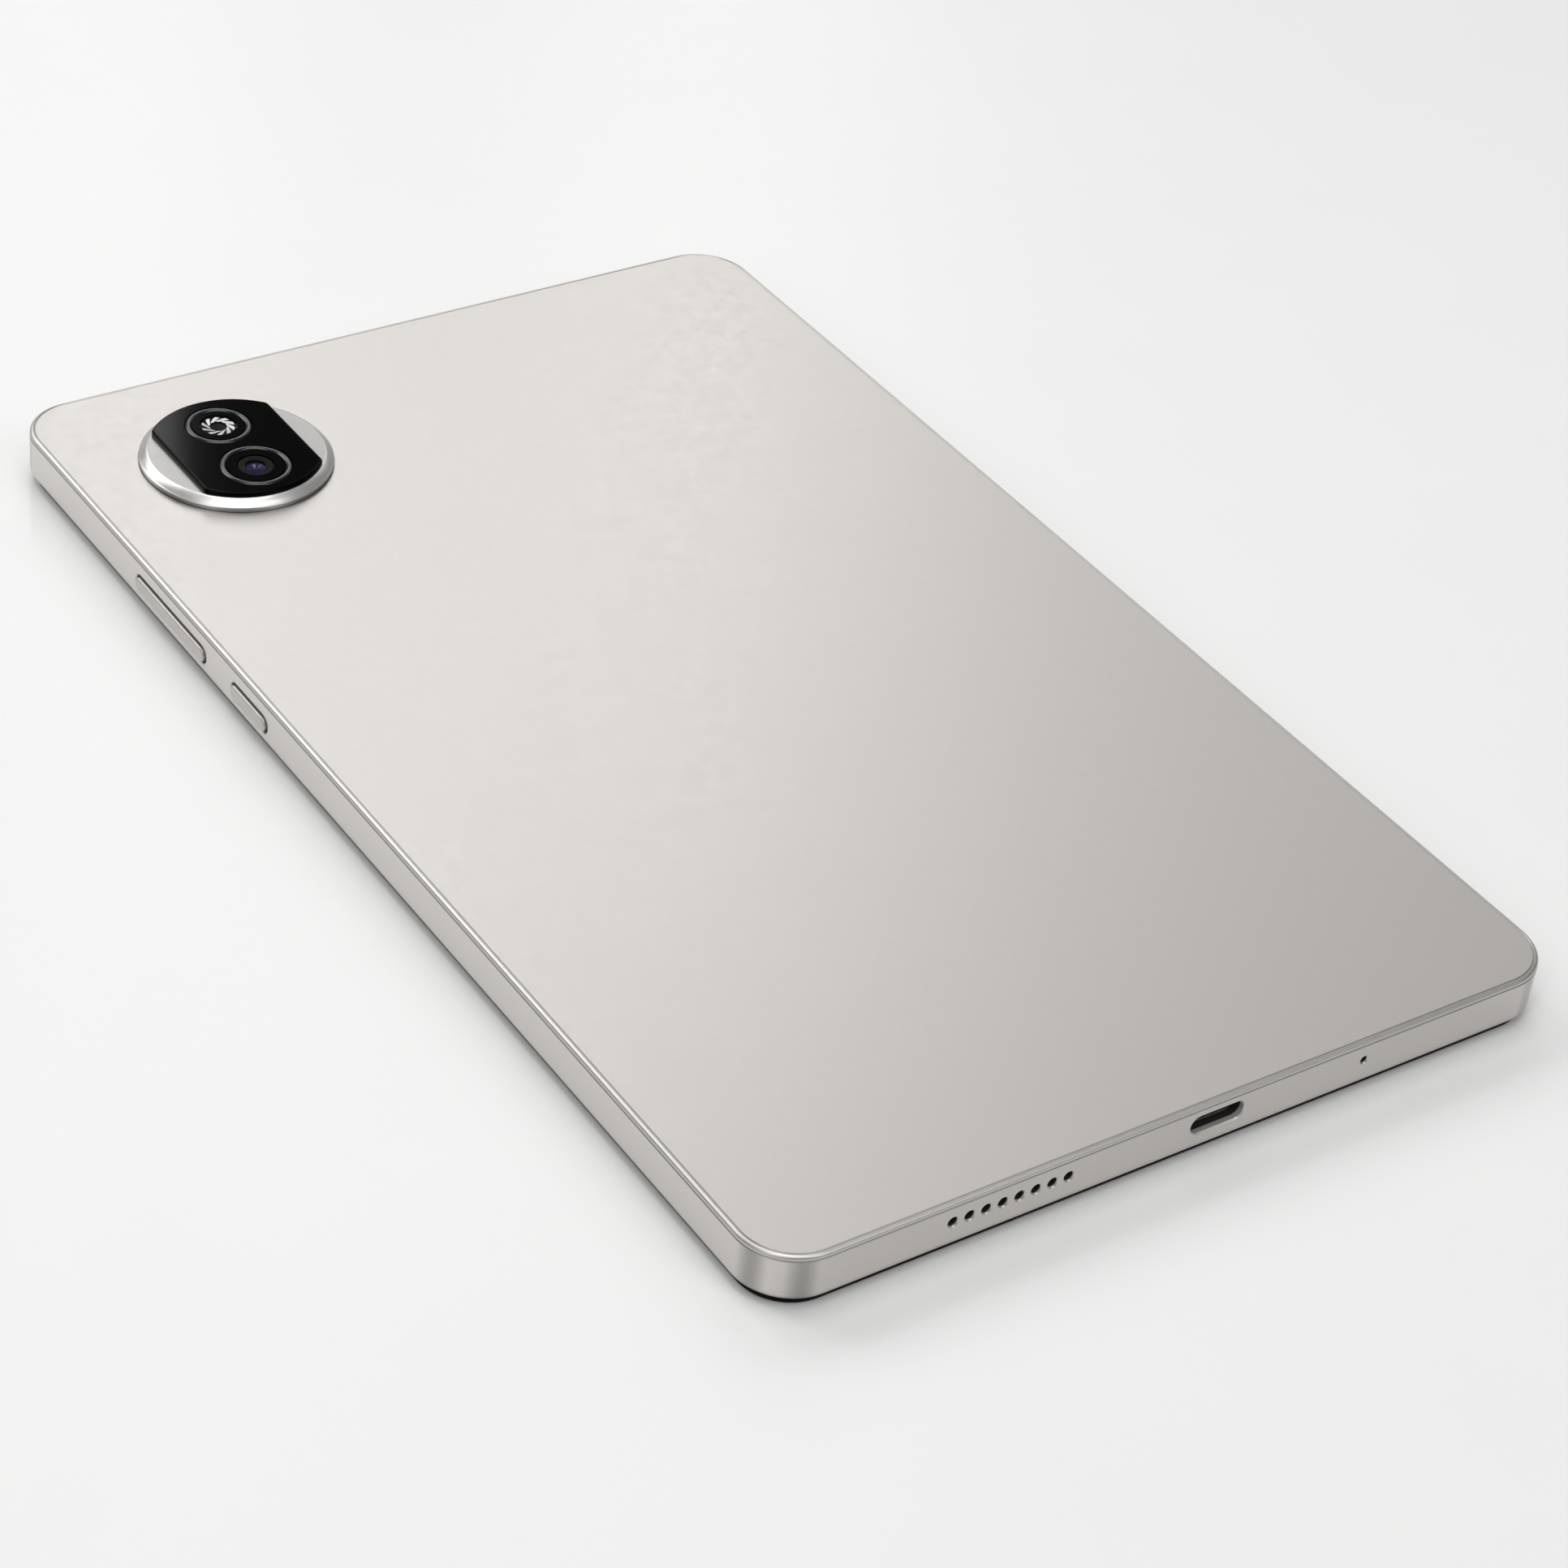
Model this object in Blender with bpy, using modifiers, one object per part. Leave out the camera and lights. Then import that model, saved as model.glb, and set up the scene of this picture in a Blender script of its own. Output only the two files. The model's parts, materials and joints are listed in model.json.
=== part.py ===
"""A compact tablet computer with a metal back, lying on its screen, as separate pieces.

Frame: metres, +Z up. X runs along the short side, Y along the long side, and Z through the
thickness. The screen faces down and its glass lies on Z = 0. The origin is the middle of the
glass. The USB socket is on the -Y end, the keys are on the -X side and the rear camera is in
the (-X, +Y) corner.
"""

import math

import bmesh
import bpy
from mathutils import Matrix, Vector

MM = 0.001

# ---- casing ----
BODY_WIDTH = 125.0 * MM
BODY_LENGTH = 206.0 * MM
BODY_HEIGHT = 8.4 * MM
CORNER_RADIUS = 8.2 * MM
BACK_EDGE_ROUND = 0.6 * MM
LOWER_EDGE_ROUND = 1.0 * MM
LIP_Z = 1.05 * MM
WALL = 1.9 * MM
BACK_THICKNESS = 0.8 * MM
CEILING_Z = BODY_HEIGHT - BACK_THICKNESS
CORNER_STEPS = 8

# ---- screen stack, from the outer face upwards ----
GLASS_INSET = 1.05 * MM
GLASS_THICKNESS = 0.7 * MM
FRAME_FLANGE_INSET = 1.1 * MM
FRAME_UPSTAND_INSET = WALL + 0.15 * MM
FRAME_OPENING_INSET = 3.1 * MM
FRAME_BASE_Z = GLASS_THICKNESS + 0.05 * MM
FRAME_FLANGE_TOP_Z = LIP_Z - 0.05 * MM
FRAME_TOP_Z = 2.6 * MM
PANEL_HALF_WIDTH = 59.1 * MM
PANEL_LOW_Y = -98.5 * MM
PANEL_HIGH_Y = 94.9 * MM
PANEL_Z = (0.8 * MM, 1.8 * MM)
TRAY_Z = (1.9 * MM, 2.75 * MM)
TRAY_CEILING_Z = 2.55 * MM
TRAY_RIM = 0.3 * MM
LIGHT_GUIDE_TOP_Z = 2.45 * MM
MID_PLATE_Z = (3.35 * MM, 4.15 * MM)
BOARD_Z = (4.3 * MM, 4.9 * MM)

# ---- openings in the -Y and +Y ends ----
PORT_Z = 5.25 * MM
SPEAKER_HOLES = 8
SPEAKER_HOLE_RADIUS = 0.72 * MM
SPEAKER_HOLE_PITCH = 2.49 * MM
SPEAKER_CENTRE_X = -27.4 * MM
USB_CENTRE_X = 4.6 * MM
USB_MOUTH = (8.5 * MM, 2.95 * MM)
USB_SHELL_OUTSIDE = (8.94 * MM, 3.16 * MM)
USB_SHELL_INSIDE = (8.34 * MM, 2.56 * MM)
USB_SHELL_LENGTH = 7.0 * MM
USB_BLADE = (6.7 * MM, 0.7 * MM)
USB_BLADE_RECESS = 0.7 * MM
MICROPHONE_X = 28.6 * MM
MICROPHONE_HOLE_RADIUS = 0.55 * MM

# ---- camera island ----
ISLAND_X = -38.0 * MM
ISLAND_Y = 78.2 * MM
ISLAND_RADIUS = 14.3 * MM
ISLAND_SIDE = 0.55 * MM
ISLAND_TOP_RADIUS = 13.15 * MM
ISLAND_HEIGHT = 1.7 * MM
ISLAND_SEAT_DEPTH = 0.35 * MM
ISLAND_SEAT_GAP = 0.1 * MM
SPIGOT_RADIUS = 12.0 * MM
SPIGOT_GAP = 0.15 * MM
SPIGOT_DEPTH = 0.4 * MM
ISLAND_BORE_RADIUS = 11.0 * MM
ISLAND_WEB = 0.9 * MM
WINDOW_RADIUS = 12.95 * MM
WINDOW_HALF_WIDTH = 9.6 * MM
WINDOW_THICKNESS = 0.7 * MM
LENS_OFFSET_Y = 5.95 * MM
LENS_HOLE_RADIUS = 2.8 * MM
LENS_RADIUS = 2.65 * MM
LENS_GROOVE_DEPTH = 0.35 * MM
LENS_PASSAGE_RADIUS = 3.3 * MM
MAIN_RING_RADII = (4.35 * MM, 5.35 * MM)
IRIS_RING_RADII = (4.0 * MM, 4.95 * MM)

# ---- rear camera module, under the window ----
CAMERA_BODY_HALF = 4.0 * MM
CAMERA_BODY_Z = (4.6 * MM, 8.6 * MM)
CAMERA_CUSHION_HALF = 3.5 * MM
CAMERA_CUSHION_Z = (4.2 * MM, 4.55 * MM)
CAMERA_BARREL_RADIUS = 2.9 * MM
CAMERA_BARREL_Z = (8.65 * MM, 10.0 * MM)
BARREL_POCKET_RADIUS = 1.6 * MM
BARREL_POCKET_Z = 9.5 * MM
CAMERA_FLEX_Z = 5.3 * MM
CAMERA_FLEX_END_X = -21.0 * MM

# ---- keys in the -X side: centre along Y, length, and places of their switches ----
KEY_Z = 4.3 * MM
KEY_HEIGHT = 2.2 * MM
KEY_PROUD = 0.35 * MM
KEY_CLEARANCE = 0.25 * MM
KEY_FACE_BEVEL = 0.15 * MM
KEY_FLANGE_MARGIN = 0.7 * MM
KEY_FLANGE_RISE = 0.42 * MM
KEY_FLANGE_THICKNESS = 0.6 * MM
KEY_TRAVEL_GAP = 0.3 * MM
VOLUME_KEY_Y = 50.85 * MM
VOLUME_KEY_LENGTH = 21.0 * MM
VOLUME_SWITCH_ARM = 7.0 * MM
POWER_KEY_Y = 27.2 * MM
POWER_KEY_LENGTH = 10.1 * MM

# ---- what stands behind the keys, from the wall inwards ----
SIDE_X = -BODY_WIDTH / 2
KEY_FLANGE_X = SIDE_X + WALL + KEY_TRAVEL_GAP
KEY_BACK_X = KEY_FLANGE_X + KEY_FLANGE_THICKNESS
NUB_RADIUS = 0.6 * MM
NUB_LENGTH = 0.3 * MM
PLUNGER_RADIUS = 0.5 * MM
PLUNGER_LENGTH = 0.8 * MM
PLUNGER_X = KEY_BACK_X + NUB_LENGTH + 0.1 * MM
SWITCH_LENGTH = 3.5 * MM
SWITCH_HEIGHT = 2.6 * MM
SWITCH_RISE = 0.3 * MM
SWITCH_DEPTH = 1.35 * MM
SWITCH_X = PLUNGER_X + 0.35 * MM
POCKET_RADIUS = 0.65 * MM
POCKET_DEPTH = 0.85 * MM
KEY_FLEX_X = SWITCH_X + SWITCH_DEPTH + 0.15 * MM
KEY_FLEX_Z = 5.6 * MM
KEY_BRACKET_Y = (22.0 * MM, 62.0 * MM)
KEY_BRACKET_Z = (4.3 * MM, 7.0 * MM)

# ---- power and boards: extents along X and Y, and heights ----
CELL_X = (4.2 * MM, 54.4 * MM)
CELL_Y = (-73.0 * MM, 52.0 * MM)
CELL_Z = (4.4 * MM, 7.35 * MM)
CELL_ROUND = 1.0 * MM
BATTERY_BOARD_HALF = 30.0 * MM
BATTERY_BOARD_Y = (52.5 * MM, 55.4 * MM)
BATTERY_LEAD_X = 14.0 * MM
MAIN_BOARD_X = (-22.0 * MM, 56.5 * MM)
MAIN_BOARD_Y = (56.0 * MM, 82.0 * MM)
SHIELD_Y = (60.0 * MM, 80.0 * MM)
SHIELD_TOP_Z = 6.7 * MM
SHIELD_SKIN = 0.2 * MM
PROCESSOR_SHIELD_X = (2.0 * MM, 28.0 * MM)
POWER_SHIELD_X = (31.0 * MM, 50.0 * MM)
SUB_BOARD_X = (-6.0 * MM, 44.0 * MM)
SUB_BOARD_Y = (-100.3 * MM, -78.0 * MM)
DISPLAY_FLEX_X = 17.0 * MM
DISPLAY_FLEX_WIDTH = 14.0 * MM
STACK_GAP = 0.05 * MM

# ---- sound, front camera and antennas ----
SPEAKER_BOX_HALF = 19.0 * MM
SPEAKER_BOX_DEPTH = 18.1 * MM
SPEAKER_BOX_Z = (4.3 * MM, 7.3 * MM)
SPEAKER_MESH_HALF = 10.0 * MM
FRONT_CAMERA_Y = 97.5 * MM
FRONT_CAMERA_HALF = 2.1 * MM
FRONT_CAMERA_NOSE_RADIUS = 1.4 * MM
ANTENNA_X = (49.5 * MM, 58.5 * MM)
ANTENNA_Z = (4.5 * MM, 7.0 * MM)
ANTENNA_CABLE_Z = 5.8 * MM
ANTENNA_CABLE_RADIUS = 0.4 * MM

# ---- screws that hold the mid plate to the bosses inside the back ----
SCREW_PLACES = [
    (-58.4 * MM, -70.0 * MM),
    (-58.4 * MM, 5.0 * MM),
    (-51.5 * MM, 93.5 * MM),
    (58.6 * MM, -70.0 * MM),
    (58.6 * MM, 5.0 * MM),
    (58.6 * MM, 68.0 * MM),
]
BOSS_RADIUS = 1.6 * MM
SCREW_HOLE_RADIUS = 0.7 * MM
SCREW_SHANK_RADIUS = 0.55 * MM
SCREW_HEAD_RADIUS = 1.3 * MM

# ---- finishes: base colour, metallic, roughness ----
FINISHES = {
    "champagne_metal": ((0.70, 0.67, 0.64), 1.0, 0.35),
    "bright_metal": ((0.80, 0.79, 0.77), 1.0, 0.18),
    "steel": ((0.55, 0.55, 0.56), 1.0, 0.35),
    "pressed_metal": ((0.42, 0.43, 0.44), 1.0, 0.45),
    "black_glass": ((0.004, 0.004, 0.005), 0.0, 0.05),
    "black_gloss": ((0.01, 0.01, 0.012), 0.0, 0.2),
    "black_plastic": ((0.015, 0.015, 0.016), 0.0, 0.5),
    "panel_glass": ((0.01, 0.011, 0.014), 0.0, 0.25),
    "white_sheet": ((0.80, 0.80, 0.78), 0.0, 0.5),
    "green_board": ((0.01, 0.09, 0.05), 0.0, 0.45),
    "amber_flex": ((0.45, 0.17, 0.03), 0.0, 0.4),
    "chip": ((0.03, 0.03, 0.033), 0.0, 0.5),
    "cell_foil": ((0.05, 0.05, 0.055), 0.0, 0.4),
    "graphite": ((0.06, 0.06, 0.065), 0.3, 0.5),
    "foam": ((0.03, 0.03, 0.03), 0.0, 0.95),
}


def clear_scene():
    """Remove every object, so that the file holds nothing but the tablet."""
    for item in list(bpy.data.objects):
        bpy.data.objects.remove(item, do_unlink=True)


def new_collection(name):
    """Make a collection in the scene."""
    collection = bpy.data.collections.new(name)
    bpy.context.scene.collection.children.link(collection)
    return collection


clear_scene()
PARTS = new_collection("tablet_computer")
CUTTERS = new_collection("cutters")


# ---- building blocks ----

def make_material(name, finish):
    """Give a piece its own Principled material."""
    colour, metallic, roughness = FINISHES[finish]
    material = bpy.data.materials.new(name)
    material.use_nodes = True
    shader = material.node_tree.nodes["Principled BSDF"]
    shader.inputs["Base Color"].default_value = (*colour, 1.0)
    shader.inputs["Metallic"].default_value = metallic
    shader.inputs["Roughness"].default_value = roughness
    return material


def finish_mesh(bm, name, finish=None, origin=(0.0, 0.0, 0.0)):
    """Turn a bmesh in world coordinates into an object: a part if it has a finish, else a cutter."""
    bmesh.ops.translate(bm, verts=bm.verts, vec=-Vector(origin))
    bmesh.ops.recalc_face_normals(bm, faces=bm.faces)
    mesh = bpy.data.meshes.new(name)
    bm.to_mesh(mesh)
    bm.free()
    item = bpy.data.objects.new(name, mesh)
    item.location = origin
    if finish is None:
        CUTTERS.objects.link(item)
        item.hide_render = True
        item.display_type = "WIRE"
        return item
    PARTS.objects.link(item)
    mesh.materials.append(make_material(name + "_finish", finish))
    mesh.shade_smooth()
    mesh.set_sharp_from_angle(angle=math.radians(30))
    return item


def boolean(target, tool, operation="DIFFERENCE"):
    """Cut a tool out of a piece, or join it on."""
    modifier = target.modifiers.new(tool.name, "BOOLEAN")
    modifier.operation = operation
    modifier.solver = "EXACT"
    modifier.object = tool


def add_box(bm, low, high):
    """Add a box between two opposite corners and return its vertices."""
    low = Vector(low)
    high = Vector(high)
    matrix = Matrix.Translation((low + high) / 2) @ Matrix.Diagonal((*(high - low), 1.0))
    return bmesh.ops.create_cube(bm, size=1.0, matrix=matrix)["verts"]


def add_disc(bm, centre, radius, low_z, high_z, steps=32):
    """Add an upright cylinder."""
    matrix = Matrix.Translation((centre[0], centre[1], (low_z + high_z) / 2))
    return bmesh.ops.create_cone(
        bm, cap_ends=True, segments=steps, radius1=radius, radius2=radius,
        depth=high_z - low_z, matrix=matrix)["verts"]


def add_rod_y(bm, x, z, radius, low_y, high_y, steps=12):
    """Add a cylinder that lies along Y."""
    matrix = Matrix.Translation((x, (low_y + high_y) / 2, z)) @ Matrix.Rotation(math.pi / 2, 4, "X")
    bmesh.ops.create_cone(
        bm, cap_ends=True, segments=steps, radius1=radius, radius2=radius,
        depth=high_y - low_y, matrix=matrix)


def add_rod_x(bm, y, z, radius, low_x, high_x, steps=12):
    """Add a cylinder that lies along X."""
    matrix = Matrix.Translation(((low_x + high_x) / 2, y, z)) @ Matrix.Rotation(math.pi / 2, 4, "Y")
    bmesh.ops.create_cone(
        bm, cap_ends=True, segments=steps, radius1=radius, radius2=radius,
        depth=high_x - low_x, matrix=matrix)


def round_edges_along(bm, verts, axis, radius, steps):
    """Round the four edges of a box that run along one axis."""
    others = [i for i in range(3) if i != axis]
    edges = {e for v in verts for e in v.link_edges}
    chosen = [
        e for e in edges
        if all(abs(e.verts[0].co[i] - e.verts[1].co[i]) < 1e-7 for i in others)
    ]
    bmesh.ops.bevel(bm, geom=chosen, offset=radius, segments=steps, profile=0.5, affect="EDGES")


def round_level(bm, level, radius, steps):
    """Round the outline edges that lie at one height."""
    chosen = [e for e in bm.edges if all(abs(v.co.z - level) < 1e-7 for v in e.verts)]
    bmesh.ops.bevel(bm, geom=chosen, offset=radius, segments=steps, profile=0.5, affect="EDGES")


def plate(name, low, high, finish=None, corner=0.0, steps=4):
    """A flat block, with its upright edges rounded if a corner radius is given."""
    bm = bmesh.new()
    verts = add_box(bm, low, high)
    if corner:
        round_edges_along(bm, verts, 2, corner, steps)
    return finish_mesh(bm, name, finish)


def outline_block(inset, low_z, high_z):
    """A block that follows the casing's outline, a given distance inside it."""
    half_x = BODY_WIDTH / 2 - inset
    half_y = BODY_LENGTH / 2 - inset
    bm = bmesh.new()
    verts = add_box(bm, (-half_x, -half_y, low_z), (half_x, half_y, high_z))
    round_edges_along(bm, verts, 2, CORNER_RADIUS - inset, CORNER_STEPS)
    return bm


def stadium_y(bm, x, z, size, low_y, high_y, steps=8):
    """A prism along Y with a stadium outline, as long as size[0] and as high as size[1]."""
    half_w = size[0] / 2
    half_h = size[1] / 2
    verts = add_box(bm, (x - half_w, low_y, z - half_h), (x + half_w, high_y, z + half_h))
    round_edges_along(bm, verts, 1, half_h * 0.995, steps)


def stadium_x(bm, y, z, size, low_x, high_x, steps=6):
    """A prism along X with a stadium outline, as long as size[0] and as high as size[1]."""
    half_l = size[0] / 2
    half_h = size[1] / 2
    verts = add_box(bm, (low_x, y - half_l, z - half_h), (high_x, y + half_l, z + half_h))
    round_edges_along(bm, verts, 0, half_h * 0.995, steps)


def rounded_path(points, radius, steps=4):
    """Replace each inner corner of a path in a plane by an arc."""
    points = [Vector(p) for p in points]
    path = [points[0]]
    for before, corner, after in zip(points, points[1:], points[2:]):
        to_before = (before - corner).normalized()
        to_after = (after - corner).normalized()
        half_angle = to_before.angle(to_after) / 2
        middle = corner + (to_before + to_after).normalized() * radius / math.sin(half_angle)
        start = corner + to_before * radius / math.tan(half_angle) - middle
        end = corner + to_after * radius / math.tan(half_angle) - middle
        turn = start.angle(end)
        axis = start.cross(end)
        for step in range(steps + 1):
            path.append(middle + Matrix.Rotation(turn * step / steps, 3, axis) @ start)
    path.append(points[-1])
    return path


def ribbon(name, path, width, finish, thickness=0.12 * MM):
    """A flat cable: the path swept by a width vector into a sheet, and given a thickness."""
    half = Vector(width) / 2
    bm = bmesh.new()
    rows = [(bm.verts.new(p - half), bm.verts.new(p + half)) for p in path]
    for (a, b), (c, d) in zip(rows, rows[1:]):
        bm.faces.new((a, b, d, c))
    item = finish_mesh(bm, name, finish)
    solidify = item.modifiers.new("thickness", "SOLIDIFY")
    solidify.thickness = thickness
    solidify.offset = 0.0
    solidify.use_even_offset = True
    return item


def turned(name, profile, centre, finish, steps=48):
    """A turned piece. The profile runs from the axis at the top, down the outside, to the axis."""
    bm = bmesh.new()
    verts = [bm.verts.new((r, 0.0, z)) for r, z in profile]
    for a, b in zip(verts, verts[1:]):
        bm.edges.new((a, b))
    mesh = bpy.data.meshes.new(name)
    bm.to_mesh(mesh)
    bm.free()
    item = bpy.data.objects.new(name, mesh)
    item.location = (centre[0], centre[1], 0.0)
    PARTS.objects.link(item)
    mesh.materials.append(make_material(name + "_finish", finish))
    screw = item.modifiers.new("turn", "SCREW")
    screw.steps = steps
    screw.render_steps = steps
    screw.use_merge_vertices = True
    screw.merge_threshold = 0.00001
    screw.use_smooth_shade = True
    return item


# ---- casing ----

def speaker_holes(name, centre_x, low_y, high_y):
    """The cutter for a row of speaker holes."""
    bm = bmesh.new()
    first = centre_x - SPEAKER_HOLE_PITCH * (SPEAKER_HOLES - 1) / 2
    for i in range(SPEAKER_HOLES):
        add_rod_y(bm, first + i * SPEAKER_HOLE_PITCH, PORT_Z, SPEAKER_HOLE_RADIUS, low_y, high_y)
    return finish_mesh(bm, name)


def key_slot(name, centre_y, length):
    """The cutter for the slot that a key comes through."""
    bm = bmesh.new()
    size = (length + 2 * KEY_CLEARANCE, KEY_HEIGHT + 2 * KEY_CLEARANCE)
    side_x = -BODY_WIDTH / 2
    stadium_x(bm, centre_y, KEY_Z, size, side_x - 1.0 * MM, side_x + WALL + 1.0 * MM)
    return finish_mesh(bm, name)


def build_rear_housing():
    """The metal back and sides in one piece, open towards the screen."""
    bm = outline_block(0.0, LIP_Z, BODY_HEIGHT)
    round_level(bm, BODY_HEIGHT, BACK_EDGE_ROUND, 3)
    round_level(bm, LIP_Z, LOWER_EDGE_ROUND, 3)
    housing = finish_mesh(bm, "rear_housing", "champagne_metal")

    boolean(housing, finish_mesh(outline_block(WALL, 0.0, CEILING_Z), "housing_cavity"))

    bm = bmesh.new()
    boss_low_z = MID_PLATE_Z[1] + 0.05 * MM
    for place in SCREW_PLACES:
        add_disc(bm, place, BOSS_RADIUS, boss_low_z, CEILING_Z + 0.3 * MM, 16)
    boolean(housing, finish_mesh(bm, "screw_bosses"), "UNION")

    bm = bmesh.new()
    for place in SCREW_PLACES:
        add_disc(bm, place, SCREW_HOLE_RADIUS, 0.0, CEILING_Z - 0.2 * MM, 12)
    boolean(housing, finish_mesh(bm, "screw_holes"))

    bm = bmesh.new()
    hole_radius = SPIGOT_RADIUS + SPIGOT_GAP
    add_disc(bm, (ISLAND_X, ISLAND_Y), hole_radius, CEILING_Z - 1.0 * MM, BODY_HEIGHT + 1.0 * MM, 48)
    boolean(housing, finish_mesh(bm, "island_hole"))
    bm = bmesh.new()
    seat_radius = ISLAND_RADIUS + ISLAND_SEAT_GAP
    seat_z = BODY_HEIGHT - ISLAND_SEAT_DEPTH
    add_disc(bm, (ISLAND_X, ISLAND_Y), seat_radius, seat_z, BODY_HEIGHT + 1.0 * MM, 64)
    boolean(housing, finish_mesh(bm, "island_seat"))

    boolean(housing, key_slot("volume_key_slot", VOLUME_KEY_Y, VOLUME_KEY_LENGTH))
    boolean(housing, key_slot("power_key_slot", POWER_KEY_Y, POWER_KEY_LENGTH))

    outer_y = BODY_LENGTH / 2 + 1.0 * MM
    inner_y = BODY_LENGTH / 2 - WALL - 1.0 * MM
    boolean(housing, speaker_holes("bottom_speaker_holes", SPEAKER_CENTRE_X, -outer_y, -inner_y))
    boolean(housing, speaker_holes("top_speaker_holes", -SPEAKER_CENTRE_X, inner_y, outer_y))

    bm = bmesh.new()
    stadium_y(bm, USB_CENTRE_X, PORT_Z, USB_MOUTH, -outer_y, -inner_y)
    boolean(housing, finish_mesh(bm, "usb_mouth"))

    bm = bmesh.new()
    add_rod_y(bm, MICROPHONE_X, PORT_Z, MICROPHONE_HOLE_RADIUS, -outer_y, -inner_y)
    boolean(housing, finish_mesh(bm, "microphone_hole"))


# ---- screen ----

def build_screen():
    """The cover glass, its black frame, the panel, the light guide and its tray."""
    bm = outline_block(GLASS_INSET, 0.0, GLASS_THICKNESS)
    round_level(bm, 0.0, 0.25 * MM, 2)
    finish_mesh(bm, "front_glass", "black_glass")

    bm = outline_block(FRAME_UPSTAND_INSET, FRAME_BASE_Z, FRAME_TOP_Z)
    frame = finish_mesh(bm, "display_frame", "black_plastic")
    flange = outline_block(FRAME_FLANGE_INSET, FRAME_BASE_Z, FRAME_FLANGE_TOP_Z)
    boolean(frame, finish_mesh(flange, "frame_flange"), "UNION")
    opening = outline_block(FRAME_OPENING_INSET, 0.0, FRAME_TOP_Z + 1.0 * MM)
    boolean(frame, finish_mesh(opening, "frame_opening"))

    plate("lcd_panel", (-PANEL_HALF_WIDTH, PANEL_LOW_Y, PANEL_Z[0]),
          (PANEL_HALF_WIDTH, PANEL_HIGH_Y, PANEL_Z[1]), "panel_glass", corner=3.5 * MM)

    tray_side = PANEL_HALF_WIDTH - 0.2 * MM
    tray_low_y = PANEL_LOW_Y + 1.0 * MM
    tray_high_y = PANEL_HIGH_Y - 0.6 * MM
    tray = plate("backlight_tray", (-tray_side, tray_low_y, TRAY_Z[0]),
                 (tray_side, tray_high_y, TRAY_Z[1]), "pressed_metal", corner=3.0 * MM)
    well = plate("tray_well", (-tray_side + TRAY_RIM, tray_low_y + TRAY_RIM, 0.0),
                 (tray_side - TRAY_RIM, tray_high_y - TRAY_RIM, TRAY_CEILING_Z), corner=2.7 * MM)
    boolean(tray, well)
    inset = TRAY_RIM + 0.2 * MM
    plate("light_guide", (-tray_side + inset, tray_low_y + inset, TRAY_Z[0]),
          (tray_side - inset, tray_high_y - inset, LIGHT_GUIDE_TOP_Z), "white_sheet", corner=2.5 * MM)


def build_mid_plate():
    """The cast plate between the screen and the boards, and the screws that hold it."""
    low_z, high_z = MID_PLATE_Z
    bm = outline_block(WALL + 0.2 * MM, low_z, high_z)
    mid_plate = finish_mesh(bm, "mid_plate", "pressed_metal")

    bm = bmesh.new()
    below = low_z - 1.0 * MM
    above = high_z + 1.0 * MM
    end_y = BODY_LENGTH / 2
    usb_half = USB_SHELL_OUTSIDE[0] / 2 + 0.4 * MM
    flex_half = DISPLAY_FLEX_WIDTH / 2 + 2.0 * MM
    windows = [
        ((USB_CENTRE_X - usb_half, -end_y), (USB_CENTRE_X + usb_half, -93.5 * MM)),
        ((-3.0 * MM, 94.6 * MM), (3.0 * MM, end_y)),
        ((DISPLAY_FLEX_X - flex_half, -77.2 * MM), (DISPLAY_FLEX_X + flex_half, -73.8 * MM)),
        ((SIDE_X, 19.5 * MM), (-57.2 * MM, 63.5 * MM)),
    ]
    for low, high in windows:
        add_box(bm, (*low, below), (*high, above))
    boolean(mid_plate, finish_mesh(bm, "plate_windows"))

    sink_z = low_z + 0.45 * MM
    bm = bmesh.new()
    for place in SCREW_PLACES:
        add_disc(bm, place, SCREW_HEAD_RADIUS + 0.15 * MM, below, sink_z, 16)
    boolean(mid_plate, finish_mesh(bm, "screw_sinks"))
    bm = bmesh.new()
    for place in SCREW_PLACES:
        add_disc(bm, place, SCREW_HOLE_RADIUS, below, above, 12)
    boolean(mid_plate, finish_mesh(bm, "plate_holes"))

    head_z = (low_z + 0.02 * MM, sink_z - 0.05 * MM)
    tip_z = high_z + 2.4 * MM
    for number, place in enumerate(SCREW_PLACES, 1):
        profile = [
            (0.0, tip_z),
            (SCREW_SHANK_RADIUS, tip_z),
            (SCREW_SHANK_RADIUS, head_z[1]),
            (SCREW_HEAD_RADIUS, head_z[1]),
            (SCREW_HEAD_RADIUS, head_z[0]),
            (0.0, head_z[0]),
        ]
        turned("screw_%d" % number, profile, place, "steel", steps=12)


# ---- camera island ----

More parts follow.
